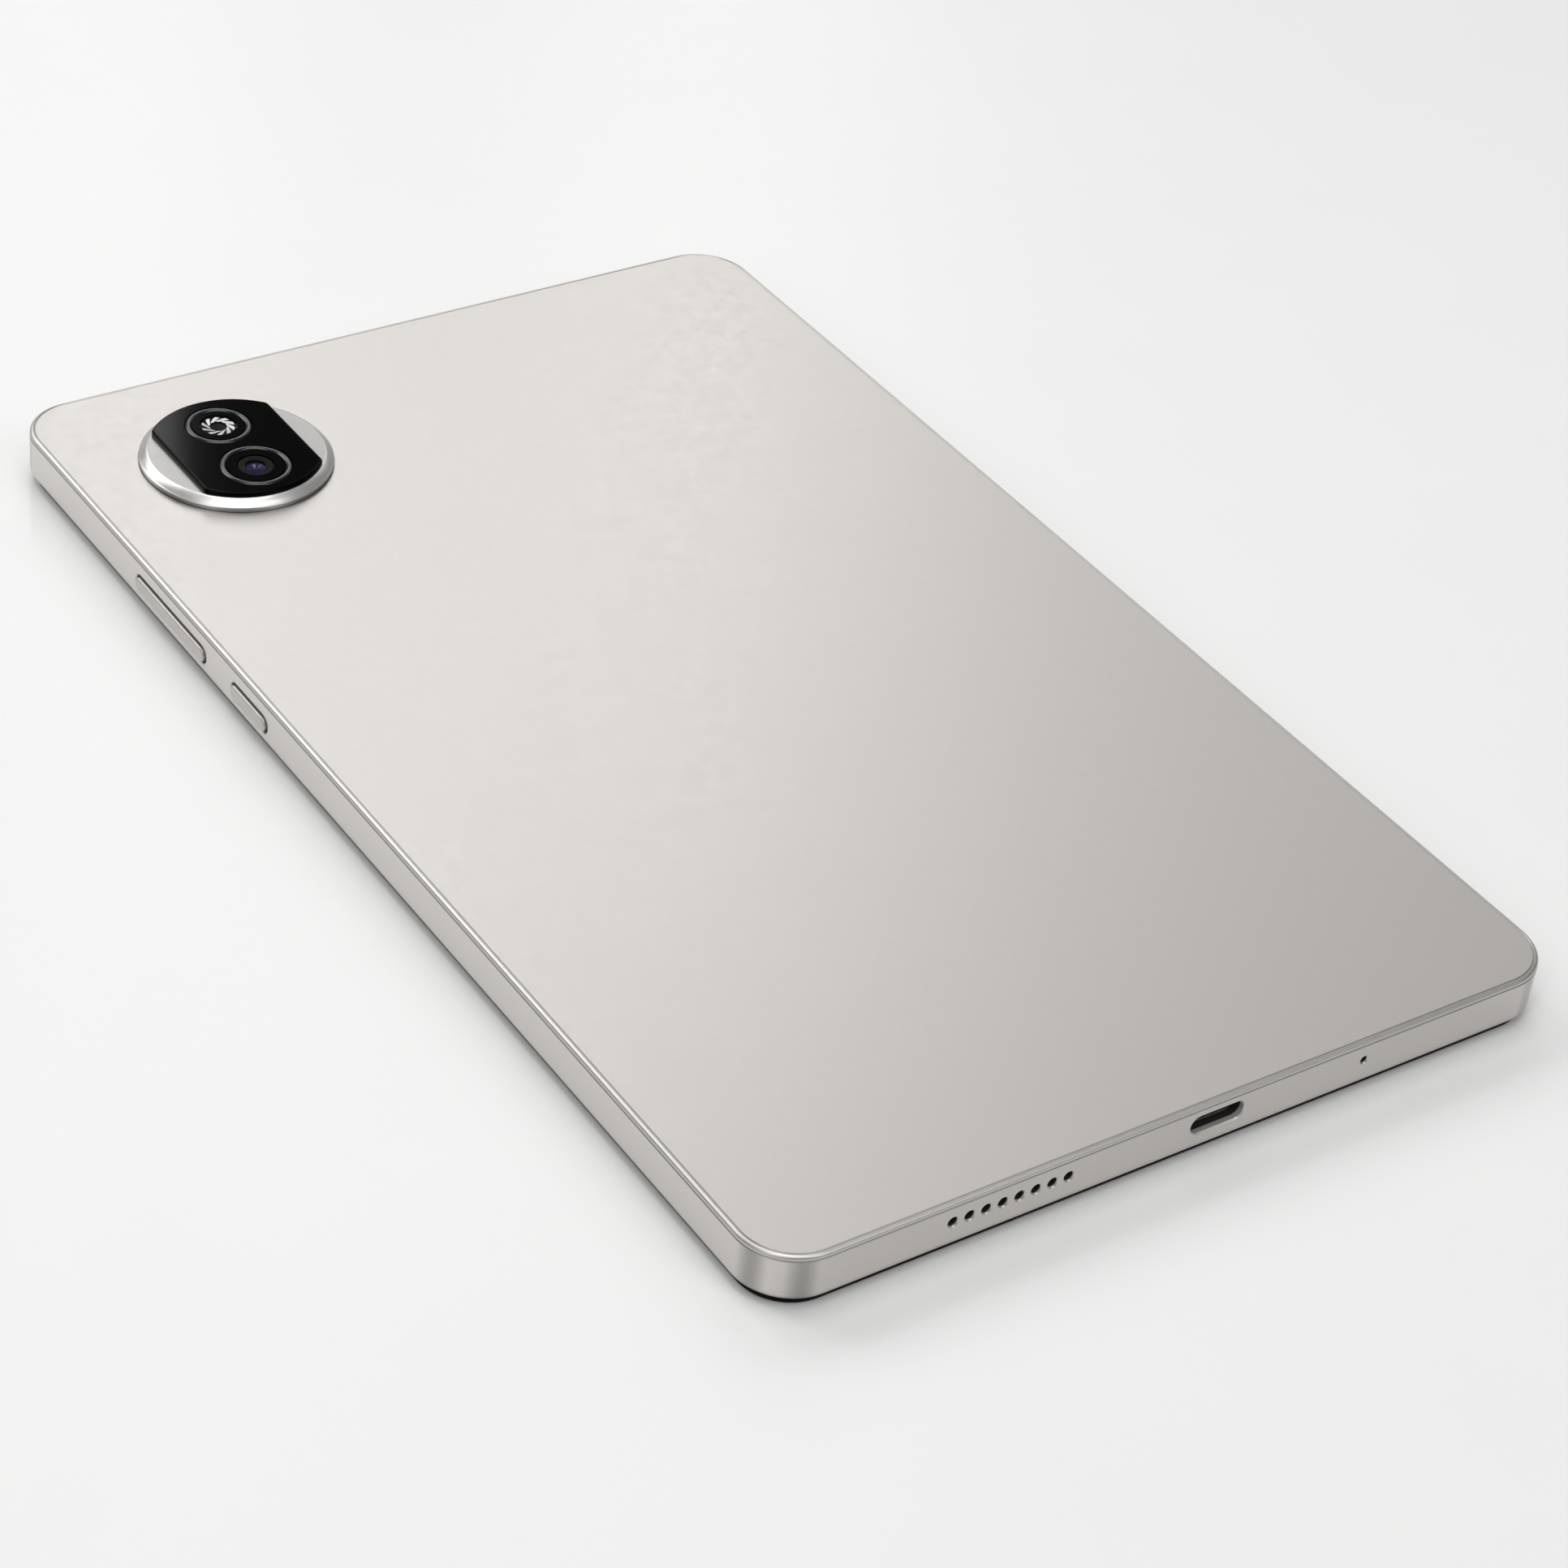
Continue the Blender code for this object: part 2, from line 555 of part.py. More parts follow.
def build_camera_ring():
    """The bright disc on the back, with a spigot through the back and a bore for the camera."""
    base_z = BODY_HEIGHT - ISLAND_SEAT_DEPTH + 0.05 * MM
    top_z = BODY_HEIGHT + ISLAND_HEIGHT
    spigot_z = CEILING_Z - SPIGOT_DEPTH
    web_z = top_z - ISLAND_WEB
    profile = [
        (0.0, top_z),
        (ISLAND_TOP_RADIUS, top_z),
        (ISLAND_RADIUS - 0.3 * MM, BODY_HEIGHT + ISLAND_SIDE + 0.45 * MM),
        (ISLAND_RADIUS, BODY_HEIGHT + ISLAND_SIDE),
        (ISLAND_RADIUS, base_z),
        (SPIGOT_RADIUS, base_z),
        (SPIGOT_RADIUS, spigot_z),
        (ISLAND_BORE_RADIUS, spigot_z),
        (ISLAND_BORE_RADIUS, web_z),
        (0.0, web_z),
    ]
    ring = turned("camera_ring", profile, (ISLAND_X, ISLAND_Y), "bright_metal", steps=64)
    bm = bmesh.new()
    lens_y = ISLAND_Y - LENS_OFFSET_Y
    add_disc(bm, (ISLAND_X, lens_y), LENS_PASSAGE_RADIUS, web_z - 1.0 * MM, top_z + 1.0 * MM, 24)
    boolean(ring, finish_mesh(bm, "ring_lens_hole"))


def build_camera_window():
    """The black glass: a disc cut by two chords, with the lens holes and the ring grooves."""
    low_z = BODY_HEIGHT + ISLAND_HEIGHT + 0.05 * MM
    high_z = low_z + WINDOW_THICKNESS
    bm = bmesh.new()
    add_disc(bm, (ISLAND_X, ISLAND_Y), WINDOW_RADIUS, low_z, high_z, 64)
    round_level(bm, high_z, 0.2 * MM, 2)
    window = finish_mesh(bm, "camera_window", "black_glass")

    reach = WINDOW_RADIUS + 1.0 * MM
    strip = plate("window_chords", (ISLAND_X - WINDOW_HALF_WIDTH, ISLAND_Y - reach, low_z - 1.0 * MM),
                  (ISLAND_X + WINDOW_HALF_WIDTH, ISLAND_Y + reach, high_z + 1.0 * MM))
    boolean(window, strip, "INTERSECT")

    floor_z = high_z - LENS_GROOVE_DEPTH
    places = [
        ("main_lens", ISLAND_Y - LENS_OFFSET_Y, MAIN_RING_RADII),
        ("iris", ISLAND_Y + LENS_OFFSET_Y, IRIS_RING_RADII),
    ]
    for label, y, (inner, outer) in places:
        centre = (ISLAND_X, y)
        bm = bmesh.new()
        add_disc(bm, centre, LENS_HOLE_RADIUS, low_z - 0.5 * MM, high_z + 0.5 * MM, 32)
        boolean(window, finish_mesh(bm, label + "_hole"))
        bm = bmesh.new()
        add_disc(bm, centre, outer + 0.1 * MM, floor_z, high_z + 0.5 * MM, 32)
        groove = finish_mesh(bm, label + "_groove")
        bm = bmesh.new()
        add_disc(bm, centre, inner - 0.1 * MM, floor_z - 0.2 * MM, high_z + 0.7 * MM, 32)
        boolean(groove, finish_mesh(bm, label + "_groove_core"))
        boolean(window, groove)
        build_lens_ring(label + "_ring", centre, inner, outer, floor_z + 0.05 * MM)
    lens_z = (low_z + 0.05 * MM, high_z - 0.1 * MM)
    main_place = (ISLAND_X, ISLAND_Y - LENS_OFFSET_Y)
    iris_place = (ISLAND_X, ISLAND_Y + LENS_OFFSET_Y)
    plain_disc("main_lens_glass", main_place, LENS_RADIUS, lens_z, "black_glass")
    plain_disc("iris_disc", iris_place, LENS_RADIUS, lens_z, "bright_metal")


def plain_disc(name, centre, radius, z_range, finish, steps=32):
    """A plain round disc."""
    bm = bmesh.new()
    add_disc(bm, centre, radius, z_range[0], z_range[1], steps)
    return finish_mesh(bm, name, finish)


def build_lens_ring(name, centre, inner, outer, low_z):
    """A crowned ring that sits in its groove and stands a little proud of the glass."""
    shoulder_z = low_z + LENS_GROOVE_DEPTH - 0.05 * MM
    crown_z = shoulder_z + 0.1 * MM
    middle = (inner + outer) / 2
    profile = [
        (inner, low_z),
        (inner, shoulder_z),
        (middle - 0.15 * MM, crown_z),
        (middle + 0.15 * MM, crown_z),
        (outer, shoulder_z),
        (outer, low_z),
        (inner, low_z),
    ]
    turned(name, profile, centre, "black_gloss", steps=32)


def build_rear_camera():
    """The camera module under the window, its barrel, its cushion and its flat cable."""
    x = ISLAND_X
    y = ISLAND_Y - LENS_OFFSET_Y
    half = CAMERA_BODY_HALF
    plate("rear_camera_body", (x - half, y - half, CAMERA_BODY_Z[0]),
          (x + half, y + half, CAMERA_BODY_Z[1]), "black_plastic", corner=0.6 * MM, steps=2)
    barrel = plain_disc("rear_camera_barrel", (x, y), CAMERA_BARREL_RADIUS, CAMERA_BARREL_Z, "black_gloss")
    pocket_z = (BARREL_POCKET_Z, CAMERA_BARREL_Z[1] + 1.0 * MM)
    boolean(barrel, plain_disc("barrel_pocket", (x, y), BARREL_POCKET_RADIUS, pocket_z, None, 24))
    cushion = CAMERA_CUSHION_HALF
    plate("camera_cushion", (x - cushion, y - cushion, CAMERA_CUSHION_Z[0]),
          (x + cushion, y + cushion, CAMERA_CUSHION_Z[1]), "foam")
    path = [Vector((x + half + 0.1 * MM, y, CAMERA_FLEX_Z)), Vector((CAMERA_FLEX_END_X, y, CAMERA_FLEX_Z))]
    ribbon("camera_flex", path, (0.0, 5.0 * MM, 0.0), "amber_flex")


# ---- keys and switches ----

def build_key(name, centre_y, length, nub_places):
    """A key: its cap through the wall, a flange inside, and a nub for each switch."""
    origin = (KEY_FLANGE_X, centre_y, KEY_Z)
    bm = bmesh.new()
    stadium_x(bm, centre_y, KEY_Z, (length, KEY_HEIGHT), SIDE_X - KEY_PROUD, KEY_FLANGE_X + 0.2 * MM)
    outer = [e for e in bm.edges if all(abs(v.co.x - SIDE_X + KEY_PROUD) < 1e-7 for v in e.verts)]
    bmesh.ops.bevel(bm, geom=outer, offset=KEY_FACE_BEVEL, segments=2, profile=0.5, affect="EDGES")
    key = finish_mesh(bm, name, "champagne_metal", origin)

    bm = bmesh.new()
    size = (length + 2 * KEY_FLANGE_MARGIN, KEY_HEIGHT + 2 * KEY_FLANGE_RISE)
    stadium_x(bm, centre_y, KEY_Z, size, KEY_FLANGE_X, KEY_BACK_X)
    boolean(key, finish_mesh(bm, name + "_flange"), "UNION")

    bm = bmesh.new()
    for place in nub_places:
        add_rod_x(bm, place, KEY_Z, NUB_RADIUS, KEY_BACK_X - 0.2 * MM, KEY_BACK_X + NUB_LENGTH)
    boolean(key, finish_mesh(bm, name + "_nubs"), "UNION")


def build_switch(label, centre_y):
    """A tactile switch: a body with a round pocket, and the plunger that the key presses."""
    half_l = SWITCH_LENGTH / 2
    middle_z = KEY_Z + SWITCH_RISE
    half_h = SWITCH_HEIGHT / 2
    body = plate(label + "_switch", (SWITCH_X, centre_y - half_l, middle_z - half_h),
                 (SWITCH_X + SWITCH_DEPTH, centre_y + half_l, middle_z + half_h), "steel")
    bm = bmesh.new()
    add_rod_x(bm, centre_y, KEY_Z, POCKET_RADIUS, SWITCH_X - 0.5 * MM, SWITCH_X + POCKET_DEPTH, 16)
    boolean(body, finish_mesh(bm, label + "_switch_pocket"))

    bm = bmesh.new()
    add_rod_x(bm, centre_y, KEY_Z, PLUNGER_RADIUS, PLUNGER_X, PLUNGER_X + PLUNGER_LENGTH, 16)
    finish_mesh(bm, label + "_plunger", "black_plastic", (PLUNGER_X, centre_y, KEY_Z))


def build_keys():
    """The volume rocker, the power key, their switches, and the cable and strip behind them."""
    volume_up_y = VOLUME_KEY_Y + VOLUME_SWITCH_ARM
    volume_down_y = VOLUME_KEY_Y - VOLUME_SWITCH_ARM
    build_key("volume_key", VOLUME_KEY_Y, VOLUME_KEY_LENGTH, (volume_up_y, volume_down_y))
    build_key("power_key", POWER_KEY_Y, POWER_KEY_LENGTH, (POWER_KEY_Y,))
    build_switch("volume_up", volume_up_y)
    build_switch("volume_down", volume_down_y)
    build_switch("power", POWER_KEY_Y)

    corners = [
        (KEY_FLEX_X, 21.5 * MM, KEY_FLEX_Z),
        (KEY_FLEX_X, 99.0 * MM, KEY_FLEX_Z),
        (-24.0 * MM, 99.0 * MM, KEY_FLEX_Z),
    ]
    ribbon("key_flex", rounded_path(corners, 6.0 * MM, steps=6), (0.0, 0.0, 2.6 * MM), "amber_flex")
    strip_x = KEY_FLEX_X + 0.2 * MM
    plate("key_bracket", (strip_x, KEY_BRACKET_Y[0], KEY_BRACKET_Z[0]),
          (strip_x + 0.4 * MM, KEY_BRACKET_Y[1], KEY_BRACKET_Z[1]), "steel")


# ---- power, boards and sound ----

def build_battery():
    """Two flat cells, their protection board and the lead to the main board."""
    near_x, far_x = CELL_X
    for label, x_range in (("left", (-far_x, -near_x)), ("right", (near_x, far_x))):
        bm = bmesh.new()
        verts = add_box(bm, (x_range[0], CELL_Y[0], CELL_Z[0]), (x_range[1], CELL_Y[1], CELL_Z[1]))
        round_edges_along(bm, verts, 1, CELL_ROUND, 3)
        finish_mesh(bm, "battery_cell_" + label, "cell_foil")
    plate("battery_board", (-BATTERY_BOARD_HALF, BATTERY_BOARD_Y[0], 4.5 * MM),
          (BATTERY_BOARD_HALF, BATTERY_BOARD_Y[1], 5.1 * MM), "green_board")
    lead_z = 5.3 * MM
    lead = [Vector((BATTERY_LEAD_X, 54.0 * MM, lead_z)), Vector((BATTERY_LEAD_X, 58.5 * MM, lead_z))]
    ribbon("battery_lead", lead, (7.0 * MM, 0.0, 0.0), "amber_flex")


def shield_can(name, low, high):
    """A pressed can, open underneath."""
    can = plate(name, low, high, "pressed_metal", corner=0.8 * MM, steps=2)
    skin = SHIELD_SKIN
    inside = plate(name + "_inside", (low[0] + skin, low[1] + skin, low[2] - 1.0 * MM),
                   (high[0] - skin, high[1] - skin, high[2] - skin), corner=0.6 * MM, steps=2)
    boolean(can, inside)


def build_main_board():
    """The main board with its chips under two cans, and the graphite sheet above them."""
    low_z, high_z = BOARD_Z
    seat_z = high_z + STACK_GAP
    plate("main_board", (MAIN_BOARD_X[0], MAIN_BOARD_Y[0], low_z),
          (MAIN_BOARD_X[1], MAIN_BOARD_Y[1], high_z), "green_board", corner=1.5 * MM, steps=3)
    for name, x_range in (("processor_shield", PROCESSOR_SHIELD_X), ("power_shield", POWER_SHIELD_X)):
        shield_can(name, (x_range[0], SHIELD_Y[0], seat_z), (x_range[1], SHIELD_Y[1], SHIELD_TOP_Z))
    plate("processor", (5.0 * MM, 63.0 * MM, seat_z), (18.0 * MM, 76.0 * MM, 6.1 * MM), "chip")
    plate("power_chip", (36.0 * MM, 66.0 * MM, seat_z), (43.0 * MM, 73.0 * MM, 5.9 * MM), "chip")
    plate("heat_spreader", (0.0, 58.5 * MM, 6.9 * MM), (52.0 * MM, 81.5 * MM, 7.05 * MM), "graphite")
    route_z = 5.4 * MM
    route = [Vector((0.0, -82.0 * MM, route_z)), Vector((0.0, 59.0 * MM, route_z))]
    ribbon("main_flex", route, (5.8 * MM, 0.0, 0.0), "amber_flex")


def build_sub_board():
    """The small board at the USB end, with its chip, the microphone and the screen's cable."""
    low_z, high_z = BOARD_Z
    board = plate("sub_board", (SUB_BOARD_X[0], SUB_BOARD_Y[0], low_z),
                  (SUB_BOARD_X[1], SUB_BOARD_Y[1], high_z), "green_board", corner=1.0 * MM, steps=2)
    notch = USB_SHELL_OUTSIDE[0] / 2 + 0.3 * MM
    bm = bmesh.new()
    add_box(bm, (USB_CENTRE_X - notch, -104.0 * MM, low_z - 1.0 * MM),
            (USB_CENTRE_X + notch, -93.8 * MM, high_z + 1.0 * MM))
    boolean(board, finish_mesh(bm, "sub_board_notch"))
    seat_z = high_z + STACK_GAP
    plate("charge_chip", (31.0 * MM, -90.0 * MM, seat_z), (36.0 * MM, -85.0 * MM, 5.8 * MM), "chip")
    microphone_half = 1.9 * MM
    plate("microphone", (MICROPHONE_X - microphone_half, -100.2 * MM, seat_z),
          (MICROPHONE_X + microphone_half, -97.4 * MM, 6.0 * MM), "steel")

    corners = [
        (DISPLAY_FLEX_X, -98.05 * MM, 1.95 * MM),
        (DISPLAY_FLEX_X, -98.05 * MM, 3.05 * MM),
        (DISPLAY_FLEX_X, -75.5 * MM, 3.05 * MM),
        (DISPLAY_FLEX_X, -75.5 * MM, 5.2 * MM),
        (DISPLAY_FLEX_X, -82.5 * MM, 5.2 * MM),
    ]
    path = rounded_path(corners, 0.5 * MM, steps=3)
    ribbon("display_flex", path, (DISPLAY_FLEX_WIDTH, 0.0, 0.0), "amber_flex")


def build_usb():
    """The USB-C socket: a steel shell open at both ends, and the tongue that closes it behind."""
    mouth_y = -BODY_LENGTH / 2 + WALL + 0.1 * MM
    back_y = mouth_y + USB_SHELL_LENGTH
    bm = bmesh.new()
    stadium_y(bm, USB_CENTRE_X, PORT_Z, USB_SHELL_OUTSIDE, mouth_y, back_y)
    shell = finish_mesh(bm, "usb_shell", "steel")
    bm = bmesh.new()
    stadium_y(bm, USB_CENTRE_X, PORT_Z, USB_SHELL_INSIDE, mouth_y - 1.0 * MM, back_y + 1.0 * MM)
    boolean(shell, finish_mesh(bm, "usb_shell_inside"))

    bm = bmesh.new()
    gap = 0.1 * MM
    base = (USB_SHELL_INSIDE[0] - gap, USB_SHELL_INSIDE[1] - gap)
    stadium_y(bm, USB_CENTRE_X, PORT_Z, base, back_y - 1.3 * MM, back_y - 0.1 * MM)
    tongue = finish_mesh(bm, "usb_tongue", "black_plastic")
    half_w = USB_BLADE[0] / 2
    half_t = USB_BLADE[1] / 2
    blade = plate("usb_blade", (USB_CENTRE_X - half_w, mouth_y + USB_BLADE_RECESS, PORT_Z - half_t),
                  (USB_CENTRE_X + half_w, back_y - 1.0 * MM, PORT_Z + half_t))
    boolean(tongue, blade, "UNION")


def build_speaker(label, centre_x, end):
    """A speaker box behind a row of holes, and the fine mesh between them. end is -1 or +1 along Y."""
    half = SPEAKER_BOX_HALF
    wall_y = BODY_LENGTH / 2 - WALL
    front_y = wall_y - 0.5 * MM
    y_range = sorted((end * front_y, end * (front_y - SPEAKER_BOX_DEPTH)))
    plate(label + "_speaker", (centre_x - half, y_range[0], SPEAKER_BOX_Z[0]),
          (centre_x + half, y_range[1], SPEAKER_BOX_Z[1]), "black_plastic", corner=1.5 * MM, steps=3)
    mesh_y = sorted((end * (wall_y - 0.1 * MM), end * (wall_y - 0.35 * MM)))
    plate(label + "_speaker_mesh", (centre_x - SPEAKER_MESH_HALF, mesh_y[0], PORT_Z - 1.0 * MM),
          (centre_x + SPEAKER_MESH_HALF, mesh_y[1], PORT_Z + 1.0 * MM), "foam")


def build_front_camera():
    """The camera that looks through the cover glass, and the light sensor beside it."""
    y = FRONT_CAMERA_Y
    half = FRONT_CAMERA_HALF
    camera = plate("front_camera", (-half, y - half, 1.5 * MM), (half, y + half, 4.7 * MM), "black_plastic")
    nose_z = (0.8 * MM, 1.7 * MM)
    nose = plain_disc("front_camera_nose", (0.0, y), FRONT_CAMERA_NOSE_RADIUS, nose_z, None, 20)
    boolean(camera, nose, "UNION")
    plate("light_sensor", (5.5 * MM, y - 0.8 * MM, 0.8 * MM), (7.5 * MM, y + 0.8 * MM, 1.7 * MM), "chip")


def build_antennas():
    """Two antennas on plastic carriers in the +X corners, and the thin cable to the far one."""
    places = [
        ("antenna_main", (84.0 * MM, 96.5 * MM)),
        ("antenna_aux", (-97.0 * MM, -84.0 * MM)),
    ]
    for name, y_range in places:
        plate(name, (ANTENNA_X[0], y_range[0], ANTENNA_Z[0]),
              (ANTENNA_X[1], y_range[1], ANTENNA_Z[1]), "black_plastic", corner=1.5 * MM, steps=3)
    corners = [
        (54.0 * MM, -83.3 * MM, ANTENNA_CABLE_Z),
        (55.8 * MM, -78.0 * MM, ANTENNA_CABLE_Z),
        (55.8 * MM, 48.0 * MM, ANTENNA_CABLE_Z),
        (53.5 * MM, 57.0 * MM, ANTENNA_CABLE_Z),
    ]
    route = rounded_path(corners, 4.0 * MM)
    curve = bpy.data.curves.new("antenna_cable", "CURVE")
    curve.dimensions = "3D"
    curve.bevel_depth = ANTENNA_CABLE_RADIUS
    curve.bevel_resolution = 2
    curve.use_fill_caps = True
    spline = curve.splines.new("POLY")
    spline.points.add(len(route) - 1)
    for point, place in zip(spline.points, route):
        point.co = (*place, 1.0)
    cable = bpy.data.objects.new("antenna_cable", curve)
    curve.materials.append(make_material("antenna_cable_finish", "black_plastic"))
    PARTS.objects.link(cable)


build_rear_housing()
build_screen()
build_mid_plate()
build_camera_ring()
build_camera_window()
build_rear_camera()
build_keys()
build_battery()
build_main_board()
build_sub_board()
build_usb()
build_speaker("bottom", SPEAKER_CENTRE_X, -1)
build_speaker("top", -SPEAKER_CENTRE_X, 1)
build_front_camera()
build_antennas()
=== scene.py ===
"""Looks of the tablet computer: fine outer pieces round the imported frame, materials, studio and camera.

Everything is in metres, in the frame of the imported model: X along the short side, Y along the long
side, +Z through the back, screen down on Z = 0.
"""

import json
import math

import bmesh
import bpy
from mathutils import Matrix, Quaternion, Vector


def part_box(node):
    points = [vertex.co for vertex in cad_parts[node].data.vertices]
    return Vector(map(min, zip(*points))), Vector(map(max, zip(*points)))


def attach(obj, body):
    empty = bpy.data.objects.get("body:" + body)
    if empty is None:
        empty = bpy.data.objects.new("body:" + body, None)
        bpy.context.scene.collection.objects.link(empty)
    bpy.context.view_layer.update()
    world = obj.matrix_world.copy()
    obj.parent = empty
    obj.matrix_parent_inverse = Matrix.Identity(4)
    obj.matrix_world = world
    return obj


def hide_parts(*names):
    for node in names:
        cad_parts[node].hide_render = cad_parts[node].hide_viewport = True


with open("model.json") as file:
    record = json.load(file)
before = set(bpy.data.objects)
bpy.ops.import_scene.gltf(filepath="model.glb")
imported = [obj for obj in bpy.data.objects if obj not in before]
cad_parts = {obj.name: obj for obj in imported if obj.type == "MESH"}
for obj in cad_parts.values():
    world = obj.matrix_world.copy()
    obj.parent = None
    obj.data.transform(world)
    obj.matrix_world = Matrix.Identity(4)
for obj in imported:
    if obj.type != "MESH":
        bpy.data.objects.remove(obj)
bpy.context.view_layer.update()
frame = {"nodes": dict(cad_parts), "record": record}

MM = 0.001
SHARP_ANGLE = math.radians(28)

# ---- casing details; the outer sizes are read from the frame ----
CORNER_RADIUS = 8.2 * MM
WALL = 1.9 * MM
BACK_THICKNESS = 0.8 * MM
CORNER_STEPS = 28
LOWER_ROUND = 1.3 * MM
BEAD_WIDTH = 0.62 * MM
BEAD_RADIUS = 0.52 * MM
SIDE_GROOVE_DEPTH = 0.08 * MM
BACK_GROOVE_DEPTH = 0.1 * MM
GROOVE_WIDTH = 0.22 * MM
CROWN_DROP = 0.02 * MM
GLASS_EDGE_ROUND = 0.25 * MM
GLASS_BREAK = 0.05 * MM

# A strip this wide beside each rounded edge keeps the shading of the flat face even.
SUPPORT = 0.07 * MM

# ---- openings ----
SPEAKER_HOLES = 8
SPEAKER_PITCH = 2.49 * MM
SPEAKER_HOLE_RADIUS = 0.72 * MM
MICROPHONE_HOLE_RADIUS = 0.55 * MM
HOLE_CHAMFER = 0.16 * MM
CUT_OVERSHOOT = 1.0 * MM
USB_MOUTH = (8.5 * MM, 2.75 * MM)
USB_WALL = 0.3 * MM
USB_LIP = 0.08 * MM
TONGUE_HALF_LENGTH = 3.35 * MM
TONGUE_HALF_THICKNESS = 0.35 * MM
TONGUE_CORNER = 0.12 * MM
TONGUE_TIP = 0.25 * MM
TONGUE_BLOCK = 1.2 * MM
TONGUE_BLOCK_GAP = 0.05 * MM
CONTACTS = 12
CONTACT_PITCH = 0.5 * MM
CONTACT_PAD = (0.28 * MM, 3.0 * MM, 0.02 * MM)
CONTACT_SETBACK = 2.0 * MM

# The wall of an opening is darkened metal to this depth, and black beyond it: painted shade in both.
LIT_BORE = 0.3 * MM
LIT_SLOT = 0.85 * MM

# ---- keys ----
KEY_PROUD = 0.35 * MM
KEY_FLANGE_MARGIN = 0.7 * MM
KEY_FLANGE_RISE = 0.42 * MM
KEY_FLANGE_THICKNESS = 0.6 * MM
KEY_FLANGE_GAP = 0.3 * MM
KEY_CLEARANCE = 0.36 * MM
KEY_EDGE = 0.22 * MM

# ---- camera island ----
RIM_HEIGHT = 0.55 * MM
SHOULDER_RADIUS = 0.28 * MM
SHOULDER_TURN = 62.0
SHOULDER_STEPS = 7
TOP_RADIUS = 13.0 * MM
BEVEL_STEPS = 8
BEVEL_CURVE = 1.35
ISLAND_STEPS = 160
ISLAND_BORE = 11.0 * MM
ISLAND_WEB = 0.9 * MM
SPIGOT_RADIUS = 12.0 * MM
SPIGOT_GAP = 0.15 * MM
SEAT_GAP = 0.1 * MM
SEAT_DEPTH = 0.35 * MM
SEAT_CLEARANCE = 0.05 * MM
LENS_PASSAGE_RADIUS = 3.3 * MM
WINDOW_CORNER = 1.3 * MM
WINDOW_EDGE = 0.3 * MM
RING_WIDTH = 1.0 * MM
RING_GROOVE_DEPTH = 0.35 * MM
RING_SLACK = 0.06 * MM
RING_RISE = 0.36 * MM
RING_CROWN_STEPS = 10
RING_STEPS = 112
RING_GROOVE_STEPS = 96
LENS_HOLE_RADIUS = 2.8 * MM
LENS_STEPS = 72
LENS_BREAK = 0.08 * MM
LENS_RECESS_RADIUS = 1.55 * MM
LENS_RECESS_DEPTH = 0.32 * MM
LENS_DOME_RADIUS = 1.35 * MM
LENS_DOME_RISE = 0.2 * MM
LENS_DOME_STEPS = 8
LENS_PUPIL_RADIUS = 0.55 * MM
IRIS_BREAK = 0.06 * MM
IRIS_RIM = 0.14 * MM
IRIS_SEAT_DEPTH = 0.14 * MM
IRIS_PIT_RADIUS = 1.2 * MM
IRIS_PIT_DEPTH = 0.12 * MM
IRIS_BLADES = 10
BLADE_LIFT = 0.015 * MM
BLADE_TAPER = 0.985

# ---- camera: heading is measured from +Y towards +X ----
CAMERA_TARGET = Vector((-8.8 * MM, -24.4 * MM, 8.4 * MM))
CAMERA_DISTANCE = 0.5459
CAMERA_HEADING = 37.68
CAMERA_ELEVATION = 36.63
CAMERA_ROLL = 6.93
CAMERA_LENS = 93.0
CAMERA_SENSOR = 36.0

# ---- studio ----
ROOM_LIGHT = 0.22
PANEL_SIZE = (0.55, 1.0)
SIDE_SIZE = (0.5, 0.9)

# Heading and elevation in degrees, distance, (width, height) and radiance of each light.
SOFTBOXES = {
    "panel_left": (-5, 40, 2.4, PANEL_SIZE, 4.0),
    "panel_narrow": (22.8, 33, 2.4, (0.14, 1.2), 5.2),
    "panel_inner": (34.8, 31, 2.4, (0.13, 1.1), 4.4),
    "panel_middle": (42, 30, 2.4, (0.42, 1.0), 0.5),
    "panel_right": (54, 30, 2.4, PANEL_SIZE, 0.66),
    "panel_far_right": (70, 30, 2.4, PANEL_SIZE, 0.4),
    "panel_high": (28, 50, 2.4, (0.8, 0.5), 0.8),
    "panel_top": (0, 88, 1.6, (0.9, 0.9), 2.5),
    "panel_front": (212, 62, 1.8, (1.6, 0.7), 1.3),
    "side_right": (160, 42, 1.6, SIDE_SIZE, 2.2),
    "side_front_left": (242, 36, 1.6, SIDE_SIZE, 1.8),
    "side_left": (328, 36, 1.6, SIDE_SIZE, 3.2),
}

FLOOR_HALF_SIZE = 2.5
FLOOR_DROP = 0.05 * MM


# ---- outlines: lists of (u, v), anticlockwise ----

def arc(centre, radius, start, end, steps):
    """Points on an arc between two angles in degrees."""
    points = []
    for i in range(steps + 1):
        angle = math.radians(start + (end - start) * i / steps)
        points.append((centre[0] + radius * math.cos(angle), centre[1] + radius * math.sin(angle)))
    return points


def rounded_rectangle(half_u, half_v, radius, steps):
    """A rectangle with round corners."""
    u = half_u - radius
    v = half_v - radius
    return (arc((u, v), radius, 0, 90, steps) + arc((-u, v), radius, 90, 180, steps)
            + arc((-u, -v), radius, 180, 270, steps) + arc((u, -v), radius, 270, 360, steps))


def circle(radius, steps):
    """A circle."""
    return arc((0.0, 0.0), radius, 0, 360 - 360 / steps, steps - 1)


def stadium(length, height, steps=12):
    """A slot outline with round ends."""
    radius = height / 2
    reach = length / 2 - radius
    return arc((reach, 0.0), radius, -90, 90, steps) + arc((-reach, 0.0), radius, 90, 270, steps)


